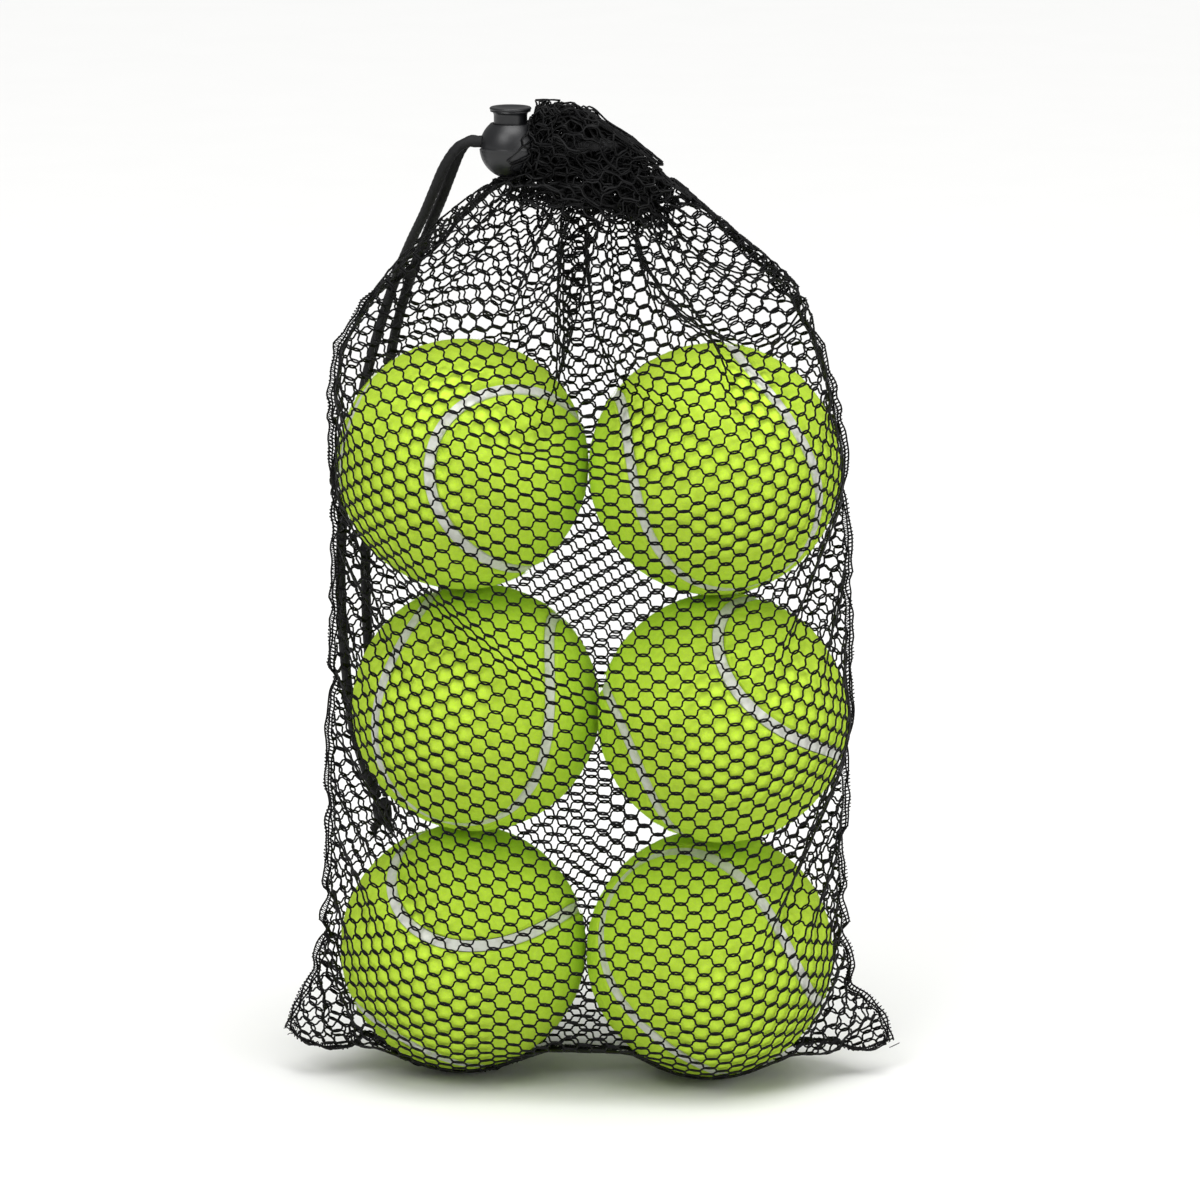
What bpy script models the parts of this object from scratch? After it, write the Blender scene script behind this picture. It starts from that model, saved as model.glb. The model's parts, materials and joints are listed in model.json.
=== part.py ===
"""A net drawstring bag that holds six tennis balls, closed by a ball-shaped cord lock.

Metres, +Z up. The bag stands on its bottom seam at the origin, with its front facing -Y.
"""

import math

import bmesh
import bpy
import numpy as np

# Left between pieces that touch.
FIT_GAP = 0.0003

# Balls: a hollow rubber core in two halves, under two felt panels with a glued seam between them.
BALL_DIAMETER = 0.0662
CORE_WALL = 0.0033
FELT_THICKNESS = 0.0027
SEAM_WIDTH = 0.0030
SEAM_RECESS = 0.0004
SEAM_BEND = 0.25  # share of the three-lobed wave in the seam's curve

# Each row of two balls: name, shift along X, shift along Y and turn about Z in degrees.
ROWS = (
    ("bottom", -0.0016, 0.0020, -5.0),
    ("middle", 0.0018, -0.0010, -10.0),
    ("top", -0.0009, -0.0010, -6.0),
)

# How each ball lies, as turns about X, Y and Z in degrees.
BALL_LIES = {
    "top_left": (55, 42, -70),
    "top_right": (19, -12, -40),
    "middle_left": (-172, -6, 126),
    "middle_right": (111, -8, 147),
    "bottom_left": (84, 22, 145),
    "bottom_right": (-139, 14, -137),
}

# Net bag.
NET_WALL = 0.0010
NET_EASE = 0.0006
SOLE_LIFT = 0.0001
SOLE_HALF_DEPTH = 0.0120
LEFT_EAR = 0.0125
RIGHT_EAR = 0.0135
EAR_HEIGHT = 0.0280
BOTTOM_SEAM_WIDTH = 0.0044
BOTTOM_SEAM_THICKNESS = 0.0012
SIDE_SEAM_WIDTH = 0.0034
SIDE_SEAM_THICKNESS = 0.0022
HEAD_HEIGHT = 0.0423  # from the top of the balls to the neck
NECK_SHIFT = 0.0005
NECK_RADIUS = 0.0110

# The shoulders: share of the way up to the neck, then how much of the left side,
# the right side and the depth is still to be drawn in there.
SHOULDERS = (
    (0.23, 1.00, 0.96, 0.97),
    (0.43, 0.98, 0.88, 0.80),
    (0.59, 0.87, 0.79, 0.60),
    (0.73, 0.69, 0.66, 0.46),
    (0.84, 0.50, 0.50, 0.37),
    (0.94, 0.30, 0.32, 0.30),
    (1.00, 0.00, 0.00, 0.00),
)

# Hem, cord and cord lock.
HEM_HEIGHT = 0.0208
HEM_HALF_OPENING = 60.0  # degrees left open on each side of the cord lock
HEM_HOLE_RADIUS = 0.0042
HEM_WALL = 0.0030
CORD_DIAMETER = 0.0028
CORD_RING_RADIUS = 0.0080
CORD_RISE = 0.0102  # of the cord above the neck
CORD_EASE = 0.0004
LOCK_DIAMETER = 0.0164
LOCK_REACH = 0.0216  # from the neck's axis to the lock's
LOCK_DROP = 0.0012  # of the lock's middle below the cord
BUTTON_DIAMETER = 0.0087
BUTTON_TRAVEL = 0.0030
BUTTON_EASE = 0.0003
BUTTON_SOLE = 0.0013
FLANGE_DIAMETER = 0.0109
FLANGE_THICKNESS = 0.0010
FLANGE_GAP = 0.0004  # left between flange and lock when the button is down
LOCK_FLOOR = 0.0021  # wall under the spring
SPRING_WIRE = 0.00045
SPRING_DIAMETER = 0.0062
SPRING_TURNS = 2.5
KNOT_DIAMETER = 0.0056
KNOT_LENGTH = 0.0080

# Routes of the two cord tails, from the lock over the shoulder and down outside the back panel.
# Both end on the knot.
TAIL_A = (
    (-0.0298, -0.00155, 0.2534), (-0.0322, -0.00155, 0.2534), (-0.0352, -0.0012, 0.2516),
    (-0.0384, 0.0006, 0.2467), (-0.0412, 0.0045, 0.2400), (-0.0442, 0.0105, 0.2325),
    (-0.0480, 0.0180, 0.2240), (-0.0520, 0.0250, 0.2140), (-0.0560, 0.0295, 0.2020),
    (-0.0600, 0.0310, 0.1880), (-0.0635, 0.0297, 0.1720), (-0.0662, 0.0270, 0.1560),
    (-0.0675, 0.0238, 0.1390), (-0.0675, 0.0240, 0.1220), (-0.0665, 0.0260, 0.1050),
    (-0.0650, 0.0285, 0.0900), (-0.0620, 0.0330, 0.0770), (-0.0591, 0.0372, 0.0680),
)
TAIL_B = (
    (-0.0298, 0.00155, 0.2534), (-0.0318, 0.00155, 0.2534), (-0.0342, 0.0022, 0.2506),
    (-0.0367, 0.0048, 0.2443), (-0.0394, 0.0095, 0.2370), (-0.0424, 0.0155, 0.2295),
    (-0.0456, 0.0222, 0.2210), (-0.0491, 0.0285, 0.2110), (-0.0524, 0.0325, 0.1990),
    (-0.0552, 0.0347, 0.1850), (-0.0577, 0.0345, 0.1690), (-0.0598, 0.0328, 0.1530),
    (-0.0612, 0.0317, 0.1370), (-0.0612, 0.0325, 0.1210), (-0.0605, 0.0335, 0.1050),
    (-0.0596, 0.0347, 0.0900), (-0.0580, 0.0370, 0.0780), (-0.0563, 0.0385, 0.0680),
)

# Worked out from the sizes above.
BALL_RADIUS = BALL_DIAMETER / 2
BALL_PITCH = BALL_DIAMETER + FIT_GAP
BOTTOM_ROW_HEIGHT = BOTTOM_SEAM_THICKNESS + FIT_GAP + BALL_RADIUS
TOP_ROW_HEIGHT = BOTTOM_ROW_HEIGHT + (len(ROWS) - 1) * BALL_PITCH
NECK_HEIGHT = TOP_ROW_HEIGHT + BALL_RADIUS + HEAD_HEIGHT
CORD_HEIGHT = NECK_HEIGHT + CORD_RISE
LOCK_CENTRE = np.array([NECK_SHIFT - LOCK_REACH, 0.0, CORD_HEIGHT - LOCK_DROP])
LOCK_RADIUS = LOCK_DIAMETER / 2
BUTTON_RADIUS = BUTTON_DIAMETER / 2
BORE_RADIUS = BUTTON_RADIUS + BUTTON_EASE
STRAND_OFFSET = (CORD_DIAMETER + FIT_GAP) / 2

# Fineness of the faceted shapes.
WRAP_TURNS = (29.0, 45.0, 63.0, 90.0)  # degrees up from under the bottom balls
WRAP_STEP = 27.0
ARC_STEPS = 4
PANEL_ROWS = 16
PANEL_COLUMNS = 5

BLACK_NET = ("black polyester net", (0.012, 0.012, 0.014), 0.70, 0.0)
BLACK_CORD = ("black braided cord", (0.010, 0.010, 0.012), 0.80, 0.0)
BLACK_PLASTIC = ("charcoal moulded plastic", (0.020, 0.021, 0.026), 0.45, 0.0)
SPRING_STEEL = ("spring steel", (0.55, 0.56, 0.58), 0.30, 1.0)
YELLOW_FELT = ("optic yellow felt", (0.45, 0.72, 0.04), 0.95, 0.0)
SEAM_RUBBER = ("grey seam rubber", (0.50, 0.52, 0.46), 0.80, 0.0)
CORE_RUBBER = ("dark core rubber", (0.08, 0.08, 0.075), 0.75, 0.0)


# ---------------------------------------------------------------- making objects


def clear_scene():
    for obj in list(bpy.data.objects):
        bpy.data.objects.remove(obj, do_unlink=True)


def material(name, finish):
    """A Principled material of the piece's own, from a finish's colour, roughness and metallic."""
    label, colour, roughness, metallic = finish
    made = bpy.data.materials.new(f"{label}, {name}")
    made.use_nodes = True
    shader = made.node_tree.nodes["Principled BSDF"]
    shader.inputs["Base Color"].default_value = (*colour, 1.0)
    shader.inputs["Roughness"].default_value = roughness
    shader.inputs["Metallic"].default_value = metallic
    return made


def add_object(name, data, finish, parent=None):
    obj = bpy.data.objects.new(name, data)
    bpy.context.scene.collection.objects.link(obj)
    data.materials.append(material(name, finish))
    obj.parent = parent
    return obj


def add_empty(name, place, turns=(0, 0, 0)):
    empty = bpy.data.objects.new(name, None)
    empty.location = place
    empty.rotation_euler = [math.radians(turn) for turn in turns]
    bpy.context.scene.collection.objects.link(empty)
    return empty


def mesh_of(name, points, faces):
    """A mesh with doubled points merged, normals out and round faces shaded smooth."""
    mesh = bpy.data.meshes.new(name)
    mesh.from_pydata([tuple(point) for point in points], [], faces)
    shape = bmesh.new()
    shape.from_mesh(mesh)
    bmesh.ops.remove_doubles(shape, verts=shape.verts, dist=1e-6)
    bmesh.ops.recalc_face_normals(shape, faces=shape.faces)
    shape.to_mesh(mesh)
    shape.free()
    mesh.shade_smooth()
    mesh.set_sharp_from_angle(angle=math.radians(40))
    return mesh


def bridged(name, rings, closed=False):
    """A solid through equal rings of points. Its ends are capped, or joined when it is closed."""
    count = len(rings[0])
    points = [point for ring in rings for point in ring]
    faces = []
    for i in range(len(rings) if closed else len(rings) - 1):
        here, there = i * count, (i + 1) % len(rings) * count
        for j in range(count):
            k = (j + 1) % count
            faces.append((here + j, here + k, there + k, there + j))
    if not closed:
        faces.append(tuple(reversed(range(count))))
        faces.append(tuple(range(len(points) - count, len(points))))
    return mesh_of(name, points, faces)


def turned(name, profile, steps):
    """A solid turned about Z from a profile of (radius, height) that starts and ends on the axis."""
    rings = []
    for step in range(steps):
        turn = 2 * math.pi * step / steps
        rings.append([(r * math.cos(turn), r * math.sin(turn), z) for r, z in profile])
    points = [point for ring in rings for point in ring]
    count = len(profile)
    faces = []
    for i in range(steps):
        here, there = i * count, (i + 1) % steps * count
        for j in range(count - 1):
            corners = [here + j, there + j, there + j + 1, here + j + 1]
            if profile[j][0] == 0:
                corners.remove(there + j)
            if profile[j + 1][0] == 0:
                corners.remove(there + j + 1)
            faces.append(tuple(corners))
    return mesh_of(name, points, faces)


def arc(radius, start, end, steps, middle=0.0):
    """(radius, height) points on a circle about (0, middle), by angles in degrees above level."""
    turns = np.radians(np.linspace(start, end, steps + 1))
    points = [(radius * math.cos(turn), middle + radius * math.sin(turn)) for turn in turns]
    return [(0.0 if r < 1e-9 else r, z) for r, z in points]


def smooth_route(points, spacing):
    """Points this far apart on a Catmull-Rom curve through a route's own points."""
    route = np.array(points, float)
    route = np.vstack([2 * route[0] - route[1], route, 2 * route[-1] - route[-2]])
    share = np.linspace(0, 1, 40, endpoint=False)[:, None]
    pieces = []
    for a, b, c, d in zip(route[:-3], route[1:-2], route[2:-1], route[3:]):
        bend = (2 * a - 5 * b + 4 * c - d) * share**2 + (3 * b - a - 3 * c + d) * share**3
        pieces.append(b + 0.5 * ((c - a) * share + bend))
    curve = np.vstack([*pieces, route[-2:-1]])
    run = np.concatenate([[0], np.cumsum(np.linalg.norm(np.diff(curve, axis=0), axis=1))])
    places = np.linspace(0, run[-1], max(2, round(run[-1] / spacing)) + 1)
    return np.stack([np.interp(places, run, curve[:, axis]) for axis in range(3)], axis=1)


def cord(name, points, finish, parent=None):
    """A tube of the cord's diameter along these world points."""
    data = bpy.data.curves.new(name, "CURVE")
    data.dimensions = "3D"
    data.bevel_depth = CORD_DIAMETER / 2
    data.bevel_resolution = 2
    data.use_fill_caps = True
    spline = data.splines.new("POLY")
    spline.points.add(len(points) - 1)
    origin = np.array(parent.location) if parent else np.zeros(3)
    for target, point in zip(spline.points, points):
        target.co = (*(point - origin), 1.0)
    return add_object(name, data, finish, parent)


def cut(obj, cutter, name):
    """Cuts the cutter out of the object."""
    cutter.hide_render = True
    cutter.display_type = "WIRE"
    modifier = obj.modifiers.new(name, "BOOLEAN")
    modifier.operation = "DIFFERENCE"
    modifier.solver = "EXACT"
    modifier.object = cutter


# ---------------------------------------------------------------- balls


def ball_centre(row, side):
    """Centre of a ball: side is -1 for the left one of its row and 1 for the right one."""
    _, shift_x, shift_y, turn = ROWS[row]
    reach = side * BALL_PITCH / 2
    angle = math.radians(turn)
    x = shift_x + reach * math.cos(angle)
    y = shift_y + reach * math.sin(angle)
    return np.array([x, y, BOTTOM_ROW_HEIGHT + row * BALL_PITCH])


def seam_point(t):
    """The tennis ball's seam on a unit sphere: a circle of share 1 - b with a wave of share b."""
    b = SEAM_BEND
    a = 1 - b
    x = a * np.cos(t) + b * np.cos(3 * t)
    y = a * np.sin(t) - b * np.sin(3 * t)
    z = 2 * math.sqrt(a * b) * np.sin(2 * t)
    return np.array([x, y, z])


def beside_seam(t, distance):
    """The direction this far to the inner side of panel A's edge, measured on the ball's surface."""
    step = 1e-4
    here = seam_point(t)
    along = seam_point(t + step) - seam_point(t - step)
    side = np.cross(here, along)
    side /= np.linalg.norm(side)
    turn = distance / BALL_RADIUS
    return here * math.cos(turn) + side * math.sin(turn)


def core_radius():
    return felt_inner_radius() * math.cos(math.radians(12.5)) - FIT_GAP / 2


def felt_inner_radius():
    return BALL_RADIUS - FELT_THICKNESS


def panel_mesh(name, flipped):
    """A felt panel: great arcs between the two edges of the seam's curve, from lobe tip to lobe tip."""
    inset = SEAM_WIDTH / 2 + FIT_GAP / 2
    directions = []
    for t in np.linspace(-math.pi / 4, 3 * math.pi / 4, PANEL_ROWS + 1):
        first, last = beside_seam(t, inset), beside_seam(1.5 * math.pi - t, inset)
        for share in np.linspace(0, 1, PANEL_COLUMNS + 1):
            between = first * (1 - share) + last * share
            directions.append(between / np.linalg.norm(between))
    directions = np.array(directions)
    if flipped:
        directions = np.stack([-directions[:, 1], directions[:, 0], -directions[:, 2]], axis=1)
    points = np.vstack([directions * BALL_RADIUS, directions * felt_inner_radius()])
    width, inner = PANEL_COLUMNS + 1, len(directions)
    faces = []
    for i in range(PANEL_ROWS):
        for j in range(PANEL_COLUMNS):
            corner = i * width + j
            face = (corner, corner + 1, corner + width + 1, corner + width)
            faces.append(face)
            faces.append(tuple(point + inner for point in reversed(face)))
        for edge in (i * width, i * width + PANEL_COLUMNS):
            faces.append((edge, edge + width, edge + width + inner, edge + inner))
    return skinned(name, points, faces)


def skinned(name, points, faces):
    """Points that fall together at a panel's tips become one before the faces are made."""
    _, first, index = np.unique(
        np.round(points / 1e-6), axis=0, return_index=True, return_inverse=True
    )
    index = index.reshape(-1)
    kept = []
    for face in faces:
        corners = list(dict.fromkeys(int(index[point]) for point in face))
        if len(corners) > 2:
            kept.append(tuple(corners))
    return mesh_of(name, points[first], kept)


def seam_mesh(name):
    """The glued seam: a closed strip between the two panels, a little below the felt."""
    half = SEAM_WIDTH / 2 - FIT_GAP / 2
    outer, inner = BALL_RADIUS - SEAM_RECESS, felt_inner_radius()
    rings = []
    for step in range(2 * PANEL_ROWS):
        t = -math.pi / 4 + math.pi * step / PANEL_ROWS
        left, right = beside_seam(t, -half), beside_seam(t, half)
        rings.append([left * outer, right * outer, right * inner, left * inner])
    return bridged(name, rings, closed=True)


def core_mesh(name, side):
    """Half of the hollow rubber core. Its rim stops half a gap short of the joint."""
    outer, inner = core_radius(), core_radius() - CORE_WALL
    start_outer = math.degrees(math.asin(FIT_GAP / 2 / outer))
    start_inner = math.degrees(math.asin(FIT_GAP / 2 / inner))
    profile = arc(outer, 90, start_outer, 4) + arc(inner, start_inner, 90, 4)
    return turned(name, [(r, side * z) for r, z in profile], 12)


def add_ball(name, centre, turns):
    parent = add_empty(f"ball_{name}_centre", centre, turns)
    for letter, side in (("a", 1), ("b", -1)):
        core = f"{name}_core_half_{letter}"
        add_object(core, core_mesh(core, side), CORE_RUBBER, parent)
        panel = f"{name}_felt_panel_{letter}"
        add_object(panel, panel_mesh(panel, side < 0), YELLOW_FELT, parent)
    seam = f"{name}_seam"
    add_object(seam, seam_mesh(seam), SEAM_RUBBER, parent)


def add_balls():
    for row, (height_name, *_) in enumerate(ROWS):
        for side, side_name in ((-1, "left"), (1, "right")):
            name = f"{height_name}_{side_name}"
            add_ball(f"ball_{name}", ball_centre(row, side), BALL_LIES[name])


# ---------------------------------------------------------------- net bag


class Level:
    """One level loop of the net: its side edges, the middles of its two round ends and its depth.

    The side seams run at seam_share of the middles' Y. A point above 1 makes the ends pointed.
    """

    def __init__(self, height, edges, depth, middles, point=1.0, seam_share=1.0):
        self.height, self.depth, self.point = height, depth, point
        self.ends = list(zip(middles, edges))
        self.seam_share = seam_share

    def half(self, side):
        """Points from the left seam to the right one, over the front (-1) or the back (1)."""
        shore = SIDE_SEAM_WIDTH / 2 + FIT_GAP + NET_WALL / 2 + NET_EASE / 2
        shore = min(shore, self.depth)
        turns = np.radians(np.linspace(0, 90, ARC_STEPS + 1))
        bulge = np.sin(turns) ** self.point
        depth = side * (shore + (self.depth - shore) * bulge)
        halves = []
        for middle, edge in self.ends:
            reach = middle[0] + (edge - middle[0]) * np.cos(turns)
            sway = middle[1] * (self.seam_share + (1 - self.seam_share) * bulge)
            halves.append([(x, y, self.height) for x, y in zip(reach, sway + depth)])
        return [*halves[0], *reversed(halves[1])]

    def seam_place(self, side):
        """Where the side seam runs at this level: -1 for the left one."""
        middle, edge = self.ends[0 if side < 0 else 1]
        return np.array([edge, middle[1] * self.seam_share, self.height])


def wrap_radius():
    """Radius of the net's middle surface round a ball, so that its flat facets clear the ball."""
    clear = BALL_RADIUS + FIT_GAP + NET_WALL / 2
    return clear / math.cos(math.radians(WRAP_STEP / 2)) + NET_EASE


def row_edges(row):
    """Side edges at a row of balls. The net runs straight past a ball that is set back."""
    wrap = wrap_radius() + NET_EASE
    rows = range(len(ROWS))
    lefts = [ball_centre(i, -1)[0] - wrap for i in rows]
    rights = [ball_centre(i, 1)[0] + wrap for i in rows]
    if 0 < row < len(ROWS) - 1:
        return (
            min(lefts[row], (lefts[row - 1] + lefts[row + 1]) / 2),
            max(rights[row], (rights[row - 1] + rights[row + 1]) / 2),
        )
    return lefts[row], rights[row]


def sole_levels():
    """The flat sole beside the bottom seam, as wide as the two bottom corners."""
    left, right = row_edges(0)
    middles = [np.array([ball_centre(0, side)[0], 0.0]) for side in (-1, 1)]
    height = SOLE_LIFT + NET_WALL / 2
    first = BOTTOM_SEAM_WIDTH / 2 + FIT_GAP + NET_EASE / 2
    edges = left - LEFT_EAR, right + RIGHT_EAR
    depths = first, SOLE_HALF_DEPTH
    return [Level(height, edges, depth, middles, point=1.3) for depth in depths]


def wrap_levels():
    """Round the bottom balls up to their middles, with the two flat corners drawn in."""
    left, right = row_edges(0)
    middles = [ball_centre(0, side)[:2] for side in (-1, 1)]
    levels = []
    for turn in WRAP_TURNS:
        height = BOTTOM_ROW_HEIGHT - wrap_radius() * math.cos(math.radians(turn))
        depth = wrap_radius() * math.sin(math.radians(turn))
        ear = math.cos(min(1.0, height / EAR_HEIGHT) * math.pi / 2)
        edges = left - LEFT_EAR * ear, right + RIGHT_EAR * ear
        share = height / BOTTOM_ROW_HEIGHT
        levels.append(Level(height, edges, depth, middles, 1.0 + 0.4 * ear, share))
    return levels


def column_levels():
    """Past the balls, with one level between each two rows."""
    levels = []
    for half_row in range(1, 2 * (len(ROWS) - 1) + 1):
        below, above = half_row // 2, (half_row + 1) // 2
        edges = np.mean([row_edges(below), row_edges(above)], axis=0)
        middles = [(ball_centre(below, s) + ball_centre(above, s)) / 2 for s in (-1, 1)]
        depth = wrap_radius() + (NET_EASE if half_row % 2 else 0)
        height = middles[0][2]
        levels.append(Level(height, edges, depth, [middle[:2] for middle in middles]))
    return levels


def shoulder_levels():
    """From the top balls' middles in to the neck."""
    top = len(ROWS) - 1
    left, right = row_edges(top)
    neck = np.array([NECK_SHIFT, 0.0])
    levels = []
    for rise, left_share, right_share, depth_share in SHOULDERS:
        height = TOP_ROW_HEIGHT + (NECK_HEIGHT - TOP_ROW_HEIGHT) * rise
        edges = (
            (NECK_SHIFT - NECK_RADIUS) * (1 - left_share) + left * left_share,
            (NECK_SHIFT + NECK_RADIUS) * (1 - right_share) + right * right_share,
        )
        depth = NECK_RADIUS + (wrap_radius() - NECK_RADIUS) * depth_share
        middles = [
            neck + (ball_centre(top, side)[:2] - neck) * share
            for side, share in ((-1, left_share), (1, right_share))
        ]
        levels.append(Level(height, edges, depth, middles))
    return levels


def net_panel(name, levels, side):
    rows = [level.half(side) for level in levels]
    width = len(rows[0])
    faces = []
    for i in range(len(rows) - 1):
        for j in range(width - 1):
            corner = i * width + j
            faces.append((corner, corner + 1, corner + width + 1, corner + width))
    points = [point for row in rows for point in row]
    obj = add_object(name, mesh_of(name, points, faces), BLACK_NET)
    wall = obj.modifiers.new("Net wall", "SOLIDIFY")
    wall.thickness = NET_WALL
    wall.offset = 0
    wall.use_even_offset = True


def side_seam(name, levels, side):
    """The sewn edge where the two panels meet, from the bottom corner to the neck."""
    across, along = SIDE_SEAM_THICKNESS / 2, SIDE_SEAM_WIDTH / 2
    rings = []
    for level in levels:
        x, y, z = level.seam_place(side)
        corners = ((-across, -along), (across, -along), (across, along), (-across, along))
        rings.append([(x + dx, y + dy, z) for dx, dy in corners])
    add_object(name, bridged(name, rings), BLACK_NET)


def bottom_seam():
    """The sewn strip that the bag stands on, between the two panels' soles."""
    left, right = row_edges(0)
    half = BOTTOM_SEAM_WIDTH / 2
    ends = left - LEFT_EAR + BOTTOM_SEAM_WIDTH, right + RIGHT_EAR - BOTTOM_SEAM_WIDTH
    rings = []
    for x in np.linspace(*ends, 9):
        low, high = 0.0, BOTTOM_SEAM_THICKNESS
        rings.append([(x, -half, low), (x, half, low), (x, half, high), (x, -half, high)])
    add_object("bottom_seam", bridged("bottom_seam", rings), BLACK_NET)


def add_net():
    levels = sole_levels() + wrap_levels() + column_levels() + shoulder_levels()
    net_panel("net_front_panel", levels, -1)
    net_panel("net_back_panel", levels, 1)
    for name, side in (("side_seam_left", -1), ("side_seam_right", 1)):
        side_seam(name, levels[2:], side)
    bottom_seam()


# ---------------------------------------------------------------- hem and drawcord


def ring_point(turn, radius, height):
    angle = math.radians(turn)
    return (NECK_SHIFT + radius * math.cos(angle), radius * math.sin(angle), height)


def mouth_hem():
    """The gathered hem: a ring left open towards the cord lock, with a channel for the cord."""
    low = NECK_HEIGHT + NET_WALL / 2 + FIT_GAP
    high = low + HEM_HEIGHT
    hole = HEM_HOLE_RADIUS
    outer = CORD_RING_RADIUS + CORD_DIAMETER / 2 + HEM_WALL
    waist = outer - HEM_WALL / 3
    profile = (
        (hole, low), (waist, low), (outer, low + HEM_HEIGHT * 0.25), (outer, CORD_HEIGHT),
        (waist, low + HEM_HEIGHT * 0.75), (waist - HEM_WALL, high), (hole, high),
    )
    end = 180 - HEM_HALF_OPENING
    turns = np.linspace(-end, end, 17)
    rings = [[ring_point(turn, r, z) for r, z in profile] for turn in turns]
    hem = add_object("mouth_hem", bridged("mouth_hem", rings), BLACK_NET)
    bore = CORD_DIAMETER / 2 + CORD_EASE
    sides = np.linspace(0, 360, 8, endpoint=False)
    tube = []
    for turn in np.linspace(0, 360, 32, endpoint=False):
        ring = []
        for side in np.radians(sides):
            radius = CORD_RING_RADIUS + bore * math.cos(side)
            ring.append(ring_point(turn, radius, CORD_HEIGHT + bore * math.sin(side)))
        tube.append(ring)
    channel = add_object("hem_channel", bridged("hem_channel", tube, closed=True), BLACK_NET)
    cut(hem, channel, "Cord channel")


def drawcord_loop():
    """The cord inside the hem, with both of its legs running through the lock."""
    near = LOCK_CENTRE[0] - LOCK_RADIUS + 2 * FIT_GAP
    far = LOCK_CENTRE[0] + LOCK_RADIUS
    ring = [ring_point(turn, CORD_RING_RADIUS, CORD_HEIGHT) for turn in np.arange(-120, 121, 15)]
    leg = np.linspace(near, far + CORD_DIAMETER / 2, 4)
    first = [(x, -STRAND_OFFSET, CORD_HEIGHT) for x in leg]
    last = [(x, STRAND_OFFSET, CORD_HEIGHT) for x in reversed(leg)]
    points = smooth_route([*first, *ring, *last], 0.002)
    cord("drawcord_loop", points, BLACK_CORD)


def cord_tails(lock):
    for name, route in (("cord_tail_a", TAIL_A), ("cord_tail_b", TAIL_B)):
        cord(name, smooth_route(route, 2.2 * CORD_DIAMETER), BLACK_CORD, lock)
    meet = (np.array(TAIL_A[-1]) + np.array(TAIL_B[-1])) / 2
    top = meet[2] - 2 * FIT_GAP
    middle = top - KNOT_LENGTH / 2
    profile = [
        (KNOT_DIAMETER / 2 * r, KNOT_LENGTH / 2 * z)
        for r, z in ((0, 1), (0.62, 1), (0.95, 0.5), (1, 0), (0.85, -0.55), (0.6, -1), (0, -1))
    ]
    knot = add_object("tail_knot", turned("tail_knot", profile, 12), BLACK_CORD, lock)
    knot.location = np.array([meet[0], meet[1], middle]) - np.array(lock.location)


# ---------------------------------------------------------------- cord lock


def slot_cutter(name, height, middle):
    """A flat-sided slot along X that both strands pass, this high and centred on this height."""
    half_width = STRAND_OFFSET + CORD_DIAMETER / 2 + CORD_EASE
    corner = CORD_DIAMETER / 2
    outline = []
    for start, y_sign, z_sign in ((0, 1, 1), (90, -1, 1), (180, -1, -1), (270, 1, -1)):
        for turn in np.radians(np.linspace(start, start + 90, 4)):
            y = y_sign * (half_width - corner) + corner * math.cos(turn)
            z = z_sign * (height / 2 - corner) + corner * math.sin(turn)
            outline.append((y, z + middle))
    reach = LOCK_RADIUS + CORD_DIAMETER
    rings = [[(x, y, z) for y, z in outline] for x in (-reach, reach)]
    return add_object(name, bridged(name, rings), BLACK_PLASTIC)


def lock_housing(lock):
    """The ball-shaped body: bored from the top for the button, with a pocket for the spring."""
    rim = BORE_RADIUS + 0.0005
    rim_angle = math.degrees(math.acos(rim / LOCK_RADIUS))
    rim_height = LOCK_RADIUS * math.sin(math.radians(rim_angle))
    pocket = SPRING_DIAMETER / 2 + SPRING_WIRE / 2 + FIT_GAP
    floor = LOCK_FLOOR - LOCK_RADIUS
    ledge = button_sole() - BUTTON_TRAVEL - FIT_GAP / 3
    inside = [(BORE_RADIUS, rim_height), (BORE_RADIUS, ledge), (pocket, ledge), (pocket, floor)]
    profile = [*arc(LOCK_RADIUS, -90, rim_angle, 9), *inside, (0.0, floor)]
    housing = add_object("lock_housing", turned("lock_housing", profile, 24), BLACK_PLASTIC, lock)
    slot = slot_cutter("housing_slot", CORD_DIAMETER + 2 * CORD_EASE, LOCK_DROP)
    slot.parent = lock
    cut(housing, slot, "Cord slot")


def button_sole():
    """Height of the button's underside at rest, from the lock's middle."""
    return LOCK_DROP - CORD_DIAMETER / 2 - CORD_EASE - BUTTON_SOLE


def lock_button(lock):
    """The plunger: two cheeks beside the cord, a neck and a flared flange to press on."""
    rim_height = math.sqrt(LOCK_RADIUS**2 - (BORE_RADIUS + 0.0005) ** 2)
    under = rim_height + BUTTON_TRAVEL + FLANGE_GAP
    radius, flange = BUTTON_RADIUS, FLANGE_DIAMETER / 2
    pocket = SPRING_DIAMETER / 2 + SPRING_WIRE / 2 + FIT_GAP
    roof = button_sole() + BUTTON_SOLE * 0.6
    profile = [
        (0.0, roof), (pocket, roof), (pocket, button_sole()), (radius, button_sole()),
        (radius, under - 0.0012), (radius + 0.0003, under - 0.0004), (flange - 0.0002, under),
        (flange, under + 0.0002), (flange, under + FLANGE_THICKNESS * 0.8),
        (flange - 0.0003, under + FLANGE_THICKNESS), (radius - 0.0006, under + FLANGE_THICKNESS),
        (radius - 0.0012, under + FLANGE_THICKNESS * 0.5), (0.0, under + FLANGE_THICKNESS * 0.5),
    ]
    button = add_object("lock_button", turned("lock_button", profile, 24), BLACK_PLASTIC, lock)
    height = CORD_DIAMETER + 2 * CORD_EASE + BUTTON_TRAVEL
    slot = slot_cutter("button_slot", height, LOCK_DROP + BUTTON_TRAVEL / 2)
    slot.parent = lock
    cut(button, slot, "Cord slot")


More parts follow.
